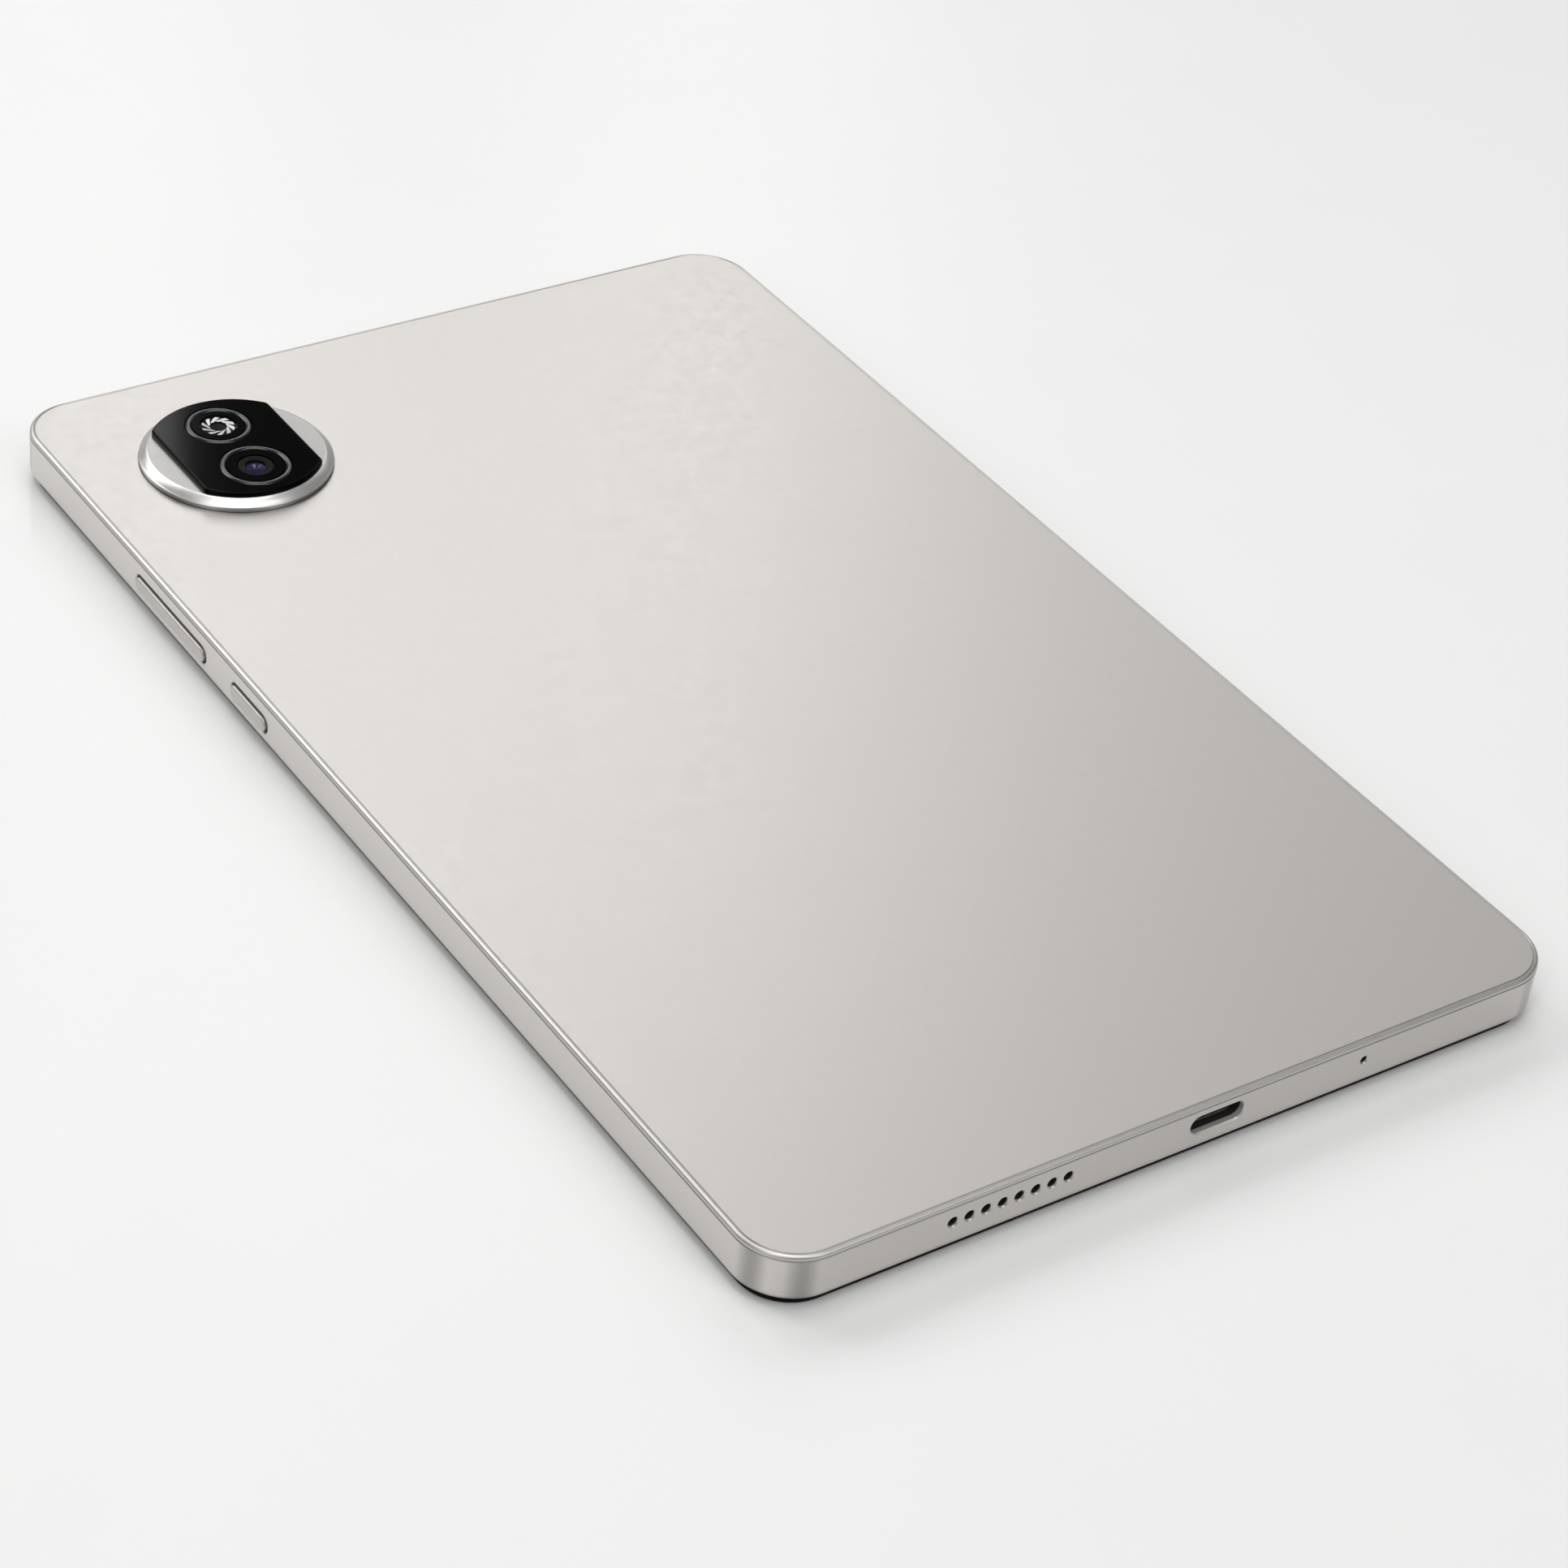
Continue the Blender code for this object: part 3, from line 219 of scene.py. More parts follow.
def chord_disc(radius, half_width, corner, arc_steps=40, corner_steps=8):
    """A disc cut by two chords at u = +/- half_width, with its four points rounded."""
    u = half_width - corner
    v = math.sqrt((radius - corner) ** 2 - u ** 2)
    turn = math.degrees(math.atan2(v, u))
    points = []
    for quarter, (su, sv) in enumerate(((1, 1), (-1, 1), (-1, -1), (1, -1))):
        fillet = arc((u, v), corner, 0, turn, corner_steps)
        fillet = [(su * a, sv * b) for a, b in fillet]
        points += fillet if quarter % 2 == 0 else fillet[::-1]
        if quarter == 0:
            points += arc((0.0, 0.0), radius, turn, 180 - turn, arc_steps)[1:-1]
        if quarter == 2:
            points += arc((0.0, 0.0), radius, 180 + turn, 360 - turn, arc_steps)[1:-1]
    return points


# ---- placing an outline in space ----

def level(points, centre, z):
    """Lay an outline flat at height z."""
    return [Vector((centre[0] + u, centre[1] + v, z)) for u, v in points]


def facing_y(points, centre, y):
    """Stand an outline up in the plane of the short ends: u along X and v along Z."""
    return [Vector((centre[0] + u, y, centre[1] + v)) for u, v in points]


def facing_x(points, centre, x):
    """Stand an outline up in the plane of the long sides: u along Y and v along Z."""
    return [Vector((x, centre[0] + u, centre[1] + v)) for u, v in points]


# ---- meshes ----

def loft(bm, rings, closed=False, finishes=None):
    """Join rings of equal length with quads. Open lofts get a cap at each end."""
    rows = [[bm.verts.new(p) for p in ring] for ring in rings]
    pairs = list(zip(rows, rows[1:]))
    if closed:
        pairs.append((rows[-1], rows[0]))
    for index, (low, high) in enumerate(pairs):
        for i in range(len(low)):
            j = (i + 1) % len(low)
            face = bm.faces.new((low[i], low[j], high[j], high[i]))
            face.material_index = finishes[index] if finishes else 0
    if not closed:
        bm.faces.new(rows[0])
        bm.faces.new(rows[-1])


def lathe(bm, profile, centre, steps, finishes=None):
    """Turn a profile of (radius, z) about an upright axis. A radius of 0 is one point."""
    rows = []
    for radius, z in profile:
        if radius == 0:
            rows.append([bm.verts.new((centre[0], centre[1], z))])
        else:
            rows.append([bm.verts.new(p) for p in level(circle(radius, steps), centre, z)])
    for index, (low, high) in enumerate(zip(rows, rows[1:])):
        for i in range(steps):
            j = (i + 1) % steps
            if len(low) == 1:
                corners = (low[0], high[j], high[i])
            elif len(high) == 1:
                corners = (low[i], low[j], high[0])
            else:
                corners = (low[i], low[j], high[j], high[i])
            face = bm.faces.new(corners)
            face.material_index = finishes[index] if finishes else 0


def make_object(name, bm, materials=()):
    """Turn a bmesh into an object with smooth shading and sharp edges."""
    bmesh.ops.recalc_face_normals(bm, faces=bm.faces)
    mesh = bpy.data.meshes.new(name)
    bm.to_mesh(mesh)
    bm.free()
    for material in materials:
        mesh.materials.append(material)
    item = bpy.data.objects.new(name, mesh)
    bpy.context.scene.collection.objects.link(item)
    mesh.shade_smooth()
    mesh.set_sharp_from_angle(angle=SHARP_ANGLE)
    return item


def cut(item, cutters):
    """Cut solids out of a piece, keep the result as its mesh, and remove the solids."""
    for cutter in cutters:
        modifier = item.modifiers.new(cutter.name, "BOOLEAN")
        modifier.operation = "DIFFERENCE"
        modifier.solver = "EXACT"
        modifier.object = cutter
    graph = bpy.context.evaluated_depsgraph_get()
    mesh = bpy.data.meshes.new_from_object(item.evaluated_get(graph))
    item.modifiers.clear()
    item.data = mesh
    mesh.shade_smooth()
    mesh.set_sharp_from_angle(angle=SHARP_ANGLE)
    for cutter in cutters:
        bpy.data.objects.remove(cutter, do_unlink=True)


def stand_in(item, body, slot, *nodes):
    """Let a fine piece ride on a body and stand for CAD nodes."""
    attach(item, body)
    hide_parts(*nodes)


def centre_of(node):
    """The middle of a node's box."""
    low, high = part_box(node)
    return (low + high) / 2


# ---- materials ----

class Finish:
    """A Principled material with helpers that hang procedural detail on it."""

    def __init__(self, name, colour, metallic=0.0, roughness=0.5, **sockets):
        self.material = bpy.data.materials.new(name)
        self.material.use_nodes = True
        self.nodes = self.material.node_tree.nodes
        self.links = self.material.node_tree.links
        self.shader = self.nodes["Principled BSDF"]
        self.set("Base Color", (*colour, 1.0))
        self.set("Metallic", metallic)
        self.set("Roughness", roughness)
        for socket, value in sockets.items():
            self.set(socket.replace("_", " "), value)

    def set(self, socket, value):
        """Set a number or colour on the shader's own socket."""
        self.shader.inputs[socket].default_value = value

    def coordinates(self, stretch=(1.0, 1.0, 1.0)):
        """Object coordinates in metres, stretched along the axes."""
        source = self.nodes.new("ShaderNodeTexCoord")
        mapping = self.nodes.new("ShaderNodeMapping")
        mapping.inputs["Scale"].default_value = stretch
        self.links.new(source.outputs["Object"], mapping.inputs["Vector"])
        return mapping.outputs["Vector"]

    def noise(self, scale, detail=2.0, stretch=(1.0, 1.0, 1.0)):
        """A noise field, scale waves to the metre."""
        node = self.nodes.new("ShaderNodeTexNoise")
        node.inputs["Scale"].default_value = scale
        node.inputs["Detail"].default_value = detail
        self.links.new(self.coordinates(stretch), node.inputs["Vector"])
        return node.outputs["Fac"]

    def bands(self, scale):
        """Straight stripes that follow one another along X."""
        node = self.nodes.new("ShaderNodeTexWave")
        node.bands_direction = "X"
        node.inputs["Scale"].default_value = scale
        self.links.new(self.coordinates(), node.inputs["Vector"])
        return node.outputs["Fac"]

    def cells(self, scale):
        """Distance to the nearest centre of an even grid of cells."""
        node = self.nodes.new("ShaderNodeTexVoronoi")
        node.inputs["Scale"].default_value = scale
        node.inputs["Randomness"].default_value = 0.0
        self.links.new(self.coordinates(), node.inputs["Vector"])
        return node.outputs["Distance"]

    def math(self, operation, first, second=0.0):
        """One math node on a field and a number or another field."""
        node = self.nodes.new("ShaderNodeMath")
        node.operation = operation
        self.links.new(first, node.inputs[0])
        if isinstance(second, (int, float)):
            node.inputs[1].default_value = second
        else:
            self.links.new(second, node.inputs[1])
        return node.outputs["Value"]

    def remap(self, field, low, high, from_low=0.3, from_high=0.7):
        """Scale a field to a range of values."""
        node = self.nodes.new("ShaderNodeMapRange")
        node.inputs["From Min"].default_value = from_low
        node.inputs["From Max"].default_value = from_high
        node.inputs["To Min"].default_value = low
        node.inputs["To Max"].default_value = high
        self.links.new(field, node.inputs["Value"])
        return node.outputs["Result"]

    def tone(self, field, colour_a, colour_b, from_low=0.3, from_high=0.7):
        """Vary the base colour between two colours."""
        node = self.nodes.new("ShaderNodeMix")
        node.data_type = "RGBA"
        for socket in node.inputs:
            if socket.type == "RGBA" and socket.name in ("A", "B"):
                socket.default_value = (*(colour_a if socket.name == "A" else colour_b), 1.0)
        self.links.new(self.remap(field, 0.0, 1.0, from_low, from_high), node.inputs["Factor"])
        colour = [s for s in node.outputs if s.type == "RGBA"][0]
        self.links.new(colour, self.shader.inputs["Base Color"])

    def polish(self, field, low, high):
        """Vary the roughness."""
        self.links.new(self.remap(field, low, high), self.shader.inputs["Roughness"])

    def relief(self, field, depth):
        """Raise a bump from a field."""
        node = self.nodes.new("ShaderNodeBump")
        node.inputs["Distance"].default_value = depth
        node.inputs["Strength"].default_value = 1.0
        self.links.new(field, node.inputs["Height"])
        self.links.new(node.outputs["Normal"], self.shader.inputs["Normal"])


def shade(colour, factor):
    """A lighter or darker version of a colour."""
    return tuple(channel * factor for channel in colour)


def grained(name, colour, metallic, roughness, grain, depth, spread=0.04, **sockets):
    """A finish with fine, even grain: colour, roughness and height follow one noise."""
    finish = Finish(name, colour, metallic, roughness, **sockets)
    field = finish.noise(grain, 3.0)
    finish.tone(field, shade(colour, 1.0 - spread), shade(colour, 1.0 + spread))
    finish.polish(finish.noise(grain / 12, 2.0), roughness * 0.94, roughness * 1.06)
    finish.relief(field, depth)
    return finish.material


def brushed(name, colour, roughness, stretch, depth=0.002 * MM):
    """Metal with fine lines along one direction."""
    finish = Finish(name, colour, 1.0, roughness)
    field = finish.noise(900.0, 3.0, stretch)
    finish.tone(field, shade(colour, 0.9), shade(colour, 1.08))
    finish.polish(field, roughness * 0.85, roughness * 1.15)
    finish.relief(field, depth)
    return finish.material


def side_metal_painted_reflections(name, colour, roughness):
    """Smooth metal whose round corners carry two soft, darker upright bands in the colour: painted
    reflections of dark studio flags.
    """
    finish = Finish(name, colour, 1.0, roughness)
    source = finish.nodes.new("ShaderNodeTexCoord")
    split = finish.nodes.new("ShaderNodeSeparateXYZ")
    finish.links.new(source.outputs["Normal"], split.inputs["Vector"])
    turn = finish.math("ARCTAN2", finish.math("ABSOLUTE", split.outputs["Y"]),
                       finish.math("ABSOLUTE", split.outputs["X"]))
    waves = 360 / PAINTED_BAND_SPACING
    phase = math.radians(waves * FIRST_PAINTED_BAND)
    wave = finish.math("COSINE", finish.math("SUBTRACT", finish.math("MULTIPLY", turn, waves), phase))
    # Darker tone where the normal turns to each band: painted reflection.
    finish.tone(wave, colour, shade(colour, PAINTED_BAND_TONE), -0.6, 1.0)
    finish.relief(finish.noise(9000.0, 3.0), 0.0008 * MM)
    return finish.material


def circuit_board(name):
    """Green board with a field of small copper pads."""
    finish = Finish(name, (0.01, 0.09, 0.05), 0.0, 0.4, Coat_Weight=0.3)
    finish.tone(finish.cells(900.0), (0.05, 0.2, 0.1), (0.008, 0.075, 0.04), 0.15, 0.4)
    finish.relief(finish.noise(2500.0), 0.004 * MM)
    return finish.material


def flat_cable(name):
    """Amber polyimide with copper lines under it."""
    finish = Finish(name, (0.45, 0.17, 0.03), 0.0, 0.35, Coat_Weight=0.4)
    field = finish.bands(260.0)
    finish.tone(field, (0.32, 0.1, 0.015), (0.5, 0.2, 0.04))
    finish.relief(field, 0.01 * MM)
    return finish.material


def battery_foil(name):
    """Dark pouch foil with soft creases."""
    finish = Finish(name, (0.05, 0.05, 0.055), 0.35, 0.4)
    field = finish.noise(140.0, 4.0, (1.0, 0.35, 1.0))
    finish.tone(field, (0.035, 0.035, 0.04), (0.07, 0.07, 0.075))
    finish.relief(field, 0.08 * MM)
    return finish.material


def woven_mesh(name):
    """Black dust mesh: a fine square grid of holes."""
    finish = Finish(name, (0.02, 0.02, 0.02), 0.2, 0.6)
    field = finish.cells(6500.0)
    finish.tone(field, (0.004, 0.004, 0.004), (0.05, 0.047, 0.044), 0.2, 0.5)
    finish.relief(field, 0.04 * MM)
    return finish.material


def printed_glass(name, half_width, low_y, high_y):
    """Black cover glass: a printed border round the slightly bluer screen area."""
    finish = Finish(name, (0.004, 0.004, 0.005), 0.0, 0.06, Coat_Weight=0.5, Coat_Roughness=0.03)
    split = finish.nodes.new("ShaderNodeSeparateXYZ")
    finish.links.new(finish.coordinates(), split.inputs["Vector"])
    inside_x = finish.math("MULTIPLY", finish.math("GREATER_THAN", split.outputs["X"], -half_width),
                           finish.math("LESS_THAN", split.outputs["X"], half_width))
    inside_y = finish.math("MULTIPLY", finish.math("GREATER_THAN", split.outputs["Y"], low_y),
                           finish.math("LESS_THAN", split.outputs["Y"], high_y))
    screen = finish.math("MULTIPLY", inside_x, inside_y)
    finish.tone(screen, (0.003, 0.003, 0.0035), (0.011, 0.012, 0.015), 0.0, 1.0)
    finish.polish(finish.noise(25.0, 3.0), 0.05, 0.08)
    return finish.material


METAL = (0.605, 0.581, 0.559)
ISLAND_METAL = (0.68, 0.67, 0.655)

# The corner bands, painted reflections: degrees from the long side's normal to the first, from one to the
# next, and tone.
FIRST_PAINTED_BAND = 22.0
PAINTED_BAND_SPACING = 45.0
PAINTED_BAND_TONE = 0.6

SATIN = grained("satin_metal", METAL, 1.0, 0.40, 9000.0, 0.0012 * MM, 0.015)
# Side walls, with painted reflections in their round corners.
SIDE_WITH_PAINTED_BANDS = side_metal_painted_reflections("side_metal_painted_reflections", METAL, 0.22)
# Darker copy of the metal for the grooves beside the bead: painted shade in the creases.
GROOVE_PAINTED_SHADE = grained("groove_painted_shade", shade(METAL, 0.68), 1.0, 0.45, 9000.0, 0.0008 * MM, 0.01)
# Lighter copy of the metal for the bead and the chamfers of the openings: painted highlight.
EDGE_PAINTED_HIGHLIGHT = grained("edge_painted_highlight", shade(METAL, 1.06), 1.0, 0.41, 9000.0, 0.0008 * MM, 0.01)
# Darker, duller copy of the metal for the walls of the openings, and black deeper in: painted shade.
BORE_PAINTED_SHADE = grained("bore_wall_painted_shade", shade(METAL, 0.72), 0.2, 0.6, 6000.0, 0.002 * MM, 0.03)
BORE_DEPTH_PAINTED_SHADE = grained("bore_depth_painted_shade", shade(METAL, 0.03), 0.0, 0.8, 6000.0, 0.002 * MM, 0.03)
KEY_METAL = grained("key_metal", shade(METAL, 0.92), 1.0, 0.42, 9000.0, 0.001 * MM, 0.015)
ISLAND_SATIN = grained("island_satin", shade(ISLAND_METAL, 0.545), 1.0, 0.34, 9000.0, 0.0008 * MM, 0.01)
ISLAND_POLISH = grained("island_bevel", shade(ISLAND_METAL, 1.25), 1.0, 0.34, 7000.0, 0.0004 * MM, 0.01)
CAMERA_GLASS = grained("camera_glass", (0.0005, 0.0005, 0.0005), 0.0, 0.07, 1500.0, 0.00005 * MM,
                       Specular_IOR_Level=0.05)
LENS_TRIM = grained("lens_trim", (0.001, 0.001, 0.001), 0.0, 0.2, 4000.0, 0.0002 * MM,
                    Specular_IOR_Level=0.8)
LENS_RECESS = grained("lens_recess", (0.002, 0.002, 0.002), 0.0, 0.5, 3000.0, 0.001 * MM,
                      Specular_IOR_Level=0.1)
LENS_FACE = grained("lens_face", (0.011, 0.0105, 0.009), 0.0, 0.4, 3000.0, 0.001 * MM,
                    Specular_IOR_Level=0.03)
LENS_COATING = grained("lens_coating", (0.006, 0.007, 0.06), 0.0, 0.25, 2500.0, 0.0001 * MM,
                       Specular_IOR_Level=0.12)
LENS_PUPIL = grained("lens_pupil", (0.002, 0.002, 0.015), 0.0, 0.15, 2500.0, 0.0001 * MM,
                     Specular_IOR_Level=0.2)
IRIS_SILVER = brushed("iris_silver", (0.62, 0.62, 0.61), 0.36, (1.0, 1.0, 1.0), 0.0005 * MM)
PLASTIC = grained("black_plastic", (0.014, 0.014, 0.015), 0.0, 0.5, 3500.0, 0.006 * MM, 0.1)
STEEL = brushed("steel", (0.52, 0.52, 0.53), 0.3, (1.0, 8.0, 1.0))
PRESSED = brushed("pressed_metal", (0.42, 0.43, 0.44), 0.42, (1.0, 12.0, 1.0), 0.006 * MM)
GOLD = brushed("contact_gold", (0.85, 0.6, 0.28), 0.25, (6.0, 1.0, 1.0))
GRAPHITE = grained("graphite", (0.06, 0.06, 0.065), 0.4, 0.5, 2600.0, 0.008 * MM, 0.15)
CHIP = grained("chip", (0.03, 0.03, 0.033), 0.0, 0.45, 5000.0, 0.005 * MM, 0.1)
FOAM = grained("foam", (0.03, 0.03, 0.03), 0.0, 0.95, 2200.0, 0.05 * MM, 0.2)
WHITE_SHEET = grained("light_guide", (0.78, 0.78, 0.76), 0.0, 0.3, 1800.0, 0.01 * MM, 0.03)
PANEL = grained("panel", (0.012, 0.013, 0.016), 0.0, 0.2, 4000.0, 0.001 * MM, 0.08)
GLASS_EDGE = grained("glass_edge", (0.002, 0.002, 0.002), 0.0, 0.4, 3000.0, 0.0005 * MM,
                     Specular_IOR_Level=0.1)
FLOOR_GLOSS = grained("floor_gloss", (0.93, 0.93, 0.925), 0.0, 0.35, 40.0, 0.0, 0.004)
BOARD = circuit_board("board")
FLEX = flat_cable("flex")
FOIL = battery_foil("cell")
DUST_MESH = woven_mesh("dust_mesh")

# The housing's materials, and the index of each in a face.
HOUSING_FINISHES = [SATIN, EDGE_PAINTED_HIGHLIGHT, SIDE_WITH_PAINTED_BANDS, BORE_PAINTED_SHADE, BORE_DEPTH_PAINTED_SHADE, GROOVE_PAINTED_SHADE]
IN_SATIN, IN_EDGE_PAINTED_HIGHLIGHT, IN_SIDE, IN_BORE_PAINTED_SHADE, IN_BORE_DEPTH_PAINTED_SHADE, IN_GROOVE_PAINTED_SHADE = range(len(HOUSING_FINISHES))

panel_low, panel_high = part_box("lcd_panel")
SCREEN_MARGIN = 1.6 * MM
COVER_GLASS = printed_glass("cover_glass", panel_high.x - SCREEN_MARGIN,
                            panel_low.y + SCREEN_MARGIN, panel_high.y - SCREEN_MARGIN)

SLOT_MATERIALS = {
    "housing_metal": SATIN,
    "island_metal": ISLAND_SATIN,
    "camera_glass": CAMERA_GLASS,
    "lens_glass": LENS_FACE,
    "iris_metal": IRIS_SILVER,
    "lens_trim": LENS_TRIM,
    "cover_glass": COVER_GLASS,
    "black_plastic": PLASTIC,
    "panel": PANEL,
    "light_guide": WHITE_SHEET,
    "pressed_metal": PRESSED,
    "steel": STEEL,
    "board": BOARD,
    "chip": CHIP,
    "flex": FLEX,
    "cell": FOIL,
    "graphite": GRAPHITE,
    "foam": FOAM,
}


def finish_frame_nodes():
    """Give every carried-over node the procedural material of its slot."""
    slots = {row["node"]: row["material_slot"] for row in frame["record"]["subparts"]}
    for name, node in frame["nodes"].items():
        material = SLOT_MATERIALS[slots[name]]
        if name.endswith("speaker_mesh"):
            material = DUST_MESH
        node.data.materials.clear()
        node.data.materials.append(material)


# ---- casing ----

def hole_cutter(outline_at, place, centre, outer, inner, lit):
    """A cutter for one opening in a wall, a little wider where it meets the outer face."""
    direction = 1 if outer > inner else -1
    wide = outline_at(HOLE_CHAMFER)
    narrow = outline_at(0.0)
    bm = bmesh.new()
    # Chamfer: painted highlight; wall: painted shade, black past the lit depth.
    loft(bm, [
        place(wide, centre, outer + direction * CUT_OVERSHOOT),
        place(wide, centre, outer),
        place(narrow, centre, outer - direction * HOLE_CHAMFER),
        place(narrow, centre, outer - direction * lit),
        place(narrow, centre, inner - direction * CUT_OVERSHOOT),
    ], finishes=[IN_SATIN, IN_EDGE_PAINTED_HIGHLIGHT, IN_BORE_PAINTED_SHADE, IN_BORE_DEPTH_PAINTED_SHADE])
    return make_object("cutter", bm, HOUSING_FINISHES)


def round_hole(radius, place, centre, outer, inner):
    """The cutter for a round hole."""
    return hole_cutter(lambda grow: circle(radius + grow, 28), place, centre, outer, inner, LIT_BORE)


def slot_hole(length, height, place, centre, outer, inner):
    """The cutter for a slot with round ends."""
    return hole_cutter(
        lambda grow: stadium(length + 2 * grow, height + 2 * grow, 16), place, centre, outer, inner,
        LIT_SLOT)


def housing_profile(low_z, top_z):
    """(inset, z, finish of the strip that follows) from the ceiling inside to the back outside."""
    crown_z = top_z - CROWN_DROP
    side_top = top_z - BEAD_WIDTH
    profile = [
        (WALL, top_z - BACK_THICKNESS, IN_SATIN),
        (WALL, low_z, IN_SATIN),
    ]
    for inset, z in arc((LOWER_ROUND, low_z + LOWER_ROUND), LOWER_ROUND, 270, 180, 8):
        profile.append((inset, z, IN_SIDE))
    # The two grooves beside the bead take the darker groove finish: painted shade.
    profile += [
        (0.0, low_z + LOWER_ROUND + SUPPORT, IN_SIDE),
        (0.0, side_top - GROOVE_WIDTH - SUPPORT, IN_SIDE),
        (0.0, side_top - GROOVE_WIDTH, IN_GROOVE_PAINTED_SHADE),
        (SIDE_GROOVE_DEPTH, side_top - GROOVE_WIDTH * 0.55, IN_GROOVE_PAINTED_SHADE),
        (SIDE_GROOVE_DEPTH, side_top - GROOVE_WIDTH * 0.3, IN_GROOVE_PAINTED_SHADE),
    ]
    # The bead takes the lighter edge finish: painted highlight.
    bead_centre = (BEAD_RADIUS + CROWN_DROP, crown_z - BEAD_RADIUS)
    for inset, z in arc(bead_centre, BEAD_RADIUS, 180, 90, 8):
        profile.append((inset, z, IN_EDGE_PAINTED_HIGHLIGHT))
    profile += [
        (BEAD_WIDTH, crown_z - BACK_GROOVE_DEPTH, IN_GROOVE_PAINTED_SHADE),
        (BEAD_WIDTH + GROOVE_WIDTH * 0.4, crown_z - BACK_GROOVE_DEPTH, IN_GROOVE_PAINTED_SHADE),
        (BEAD_WIDTH + GROOVE_WIDTH, top_z, IN_SATIN),
        (BEAD_WIDTH + GROOVE_WIDTH + SUPPORT, top_z, IN_SATIN),
    ]
    return profile


def opening_cutters(high):
    """Cutters for the speaker holes, the USB mouth, the microphone hole and the key slots."""
    cutters = []
    for node, end in (("bottom_speaker_mesh", -1), ("top_speaker_mesh", 1)):
        middle = centre_of(node)
        for i in range(SPEAKER_HOLES):
            x = middle.x + (i - (SPEAKER_HOLES - 1) / 2) * SPEAKER_PITCH
            cutters.append(round_hole(SPEAKER_HOLE_RADIUS, facing_y, (x, middle.z),
                                      end * high.y, end * (high.y - WALL)))
    usb = centre_of("usb_shell")
    cutters.append(slot_hole(*USB_MOUTH, facing_y, (usb.x, usb.z), -high.y, -high.y + WALL))
    microphone = centre_of("microphone")
    cutters.append(round_hole(MICROPHONE_HOLE_RADIUS, facing_y, (microphone.x, usb.z),
                              -high.y, -high.y + WALL))
    for node in ("volume_key", "power_key"):
        middle, length, height = key_size(node)
        cutters.append(slot_hole(length + 2 * KEY_CLEARANCE, height + 2 * KEY_CLEARANCE, facing_x,
                                 (middle.y, middle.z), -high.x, -high.x + WALL))
    return cutters


def island_seat_cutter(back_z):
    """The cutter for the stepped hole that the camera island sits in."""
    low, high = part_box("camera_ring")
    seat_radius = (high.x - low.x) / 2 + SEAT_GAP
    below = back_z - BACK_THICKNESS - CUT_OVERSHOOT
    above = back_z + CUT_OVERSHOOT
    bm = bmesh.new()
    lathe(bm, [
        (0.0, below),
        (SPIGOT_RADIUS + SPIGOT_GAP, below),
        (SPIGOT_RADIUS + SPIGOT_GAP, back_z - SEAT_DEPTH),
        (seat_radius, back_z - SEAT_DEPTH),
        (seat_radius, above),
        (0.0, above),
    ], centre_of("camera_ring"), ISLAND_STEPS)
    return make_object("cutter", bm)


def build_housing():
    """The metal back and sides: grooved edge bead, lower round, and every opening."""
    low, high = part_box("rear_housing")
    profile = housing_profile(low.z, high.z)
    bm = bmesh.new()
    loft(bm, [
        level(rounded_rectangle(high.x - inset, high.y - inset, CORNER_RADIUS - inset, CORNER_STEPS),
              (0.0, 0.0), z)
        for inset, z, _ in profile
    ], finishes=[finish for _, _, finish in profile])
    housing = make_object("housing_shell", bm, HOUSING_FINISHES)
    cut(housing, opening_cutters(high) + [island_seat_cutter(high.z)])
    stand_in(housing, "tablet", "housing_metal", "rear_housing")


def build_cover_glass():
    """The cover glass with a rounded lower edge and blackened edge strips."""
    low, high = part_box("front_glass")
    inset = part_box("rear_housing")[1].x - high.x
    radius = CORNER_RADIUS - inset
    edge = GLASS_EDGE_ROUND
    profile = [(edge + SUPPORT, low.z)]
    profile += arc((edge, low.z + edge), edge, 270, 180, 6)
    profile += [(0.0, high.z - GLASS_BREAK), (GLASS_BREAK, high.z)]
    finishes = [0] + [1] * (len(profile) - 2)
    bm = bmesh.new()
    loft(bm, [
        level(rounded_rectangle(high.x - step, high.y - step, radius - step, CORNER_STEPS), (0.0, 0.0), z)
        for step, z in profile
    ], finishes=finishes)
    glass = make_object("cover_glass_sheet", bm, [COVER_GLASS, GLASS_EDGE])
    stand_in(glass, "tablet", "cover_glass", "front_glass")


# ---- keys ----

def key_size(node):
    """The middle of a key's face, and the length and height of its cap."""
    low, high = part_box(node)
    length = high.y - low.y - 2 * KEY_FLANGE_MARGIN
    height = high.z - low.z - 2 * KEY_FLANGE_RISE
    return (low + high) / 2, length, height


def build_key(node):
    """A key: flange inside, cap through the wall, and a face with a soft edge."""
    middle, length, height = key_size(node)
    face_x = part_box(node)[0].x
    flange_x = face_x + KEY_PROUD + WALL + KEY_FLANGE_GAP
    back_x = flange_x + KEY_FLANGE_THICKNESS
    centre = (middle.y, middle.z)
    flange = stadium(length + 2 * KEY_FLANGE_MARGIN, height + 2 * KEY_FLANGE_RISE, 16)
    cap_outline = stadium(length, height, 16)
    rings = [
        facing_x(flange, centre, back_x),
        facing_x(flange, centre, flange_x),
        facing_x(cap_outline, centre, flange_x),
        facing_x(cap_outline, centre, face_x + KEY_EDGE + SUPPORT),
    ]
    for inset, depth in arc((KEY_EDGE, KEY_EDGE), KEY_EDGE, 180, 270, 6):
        outline = stadium(length - 2 * inset, height - 2 * inset, 16)
        rings.append(facing_x(outline, centre, face_x + depth))
    support = KEY_EDGE + SUPPORT
    rings.append(facing_x(stadium(length - 2 * support, height - 2 * support, 16), centre, face_x))
    bm = bmesh.new()
    loft(bm, rings)
    cap = make_object(node + "_cap", bm, [KEY_METAL])
    stand_in(cap, node, "housing_metal", node)


# ---- camera island ----

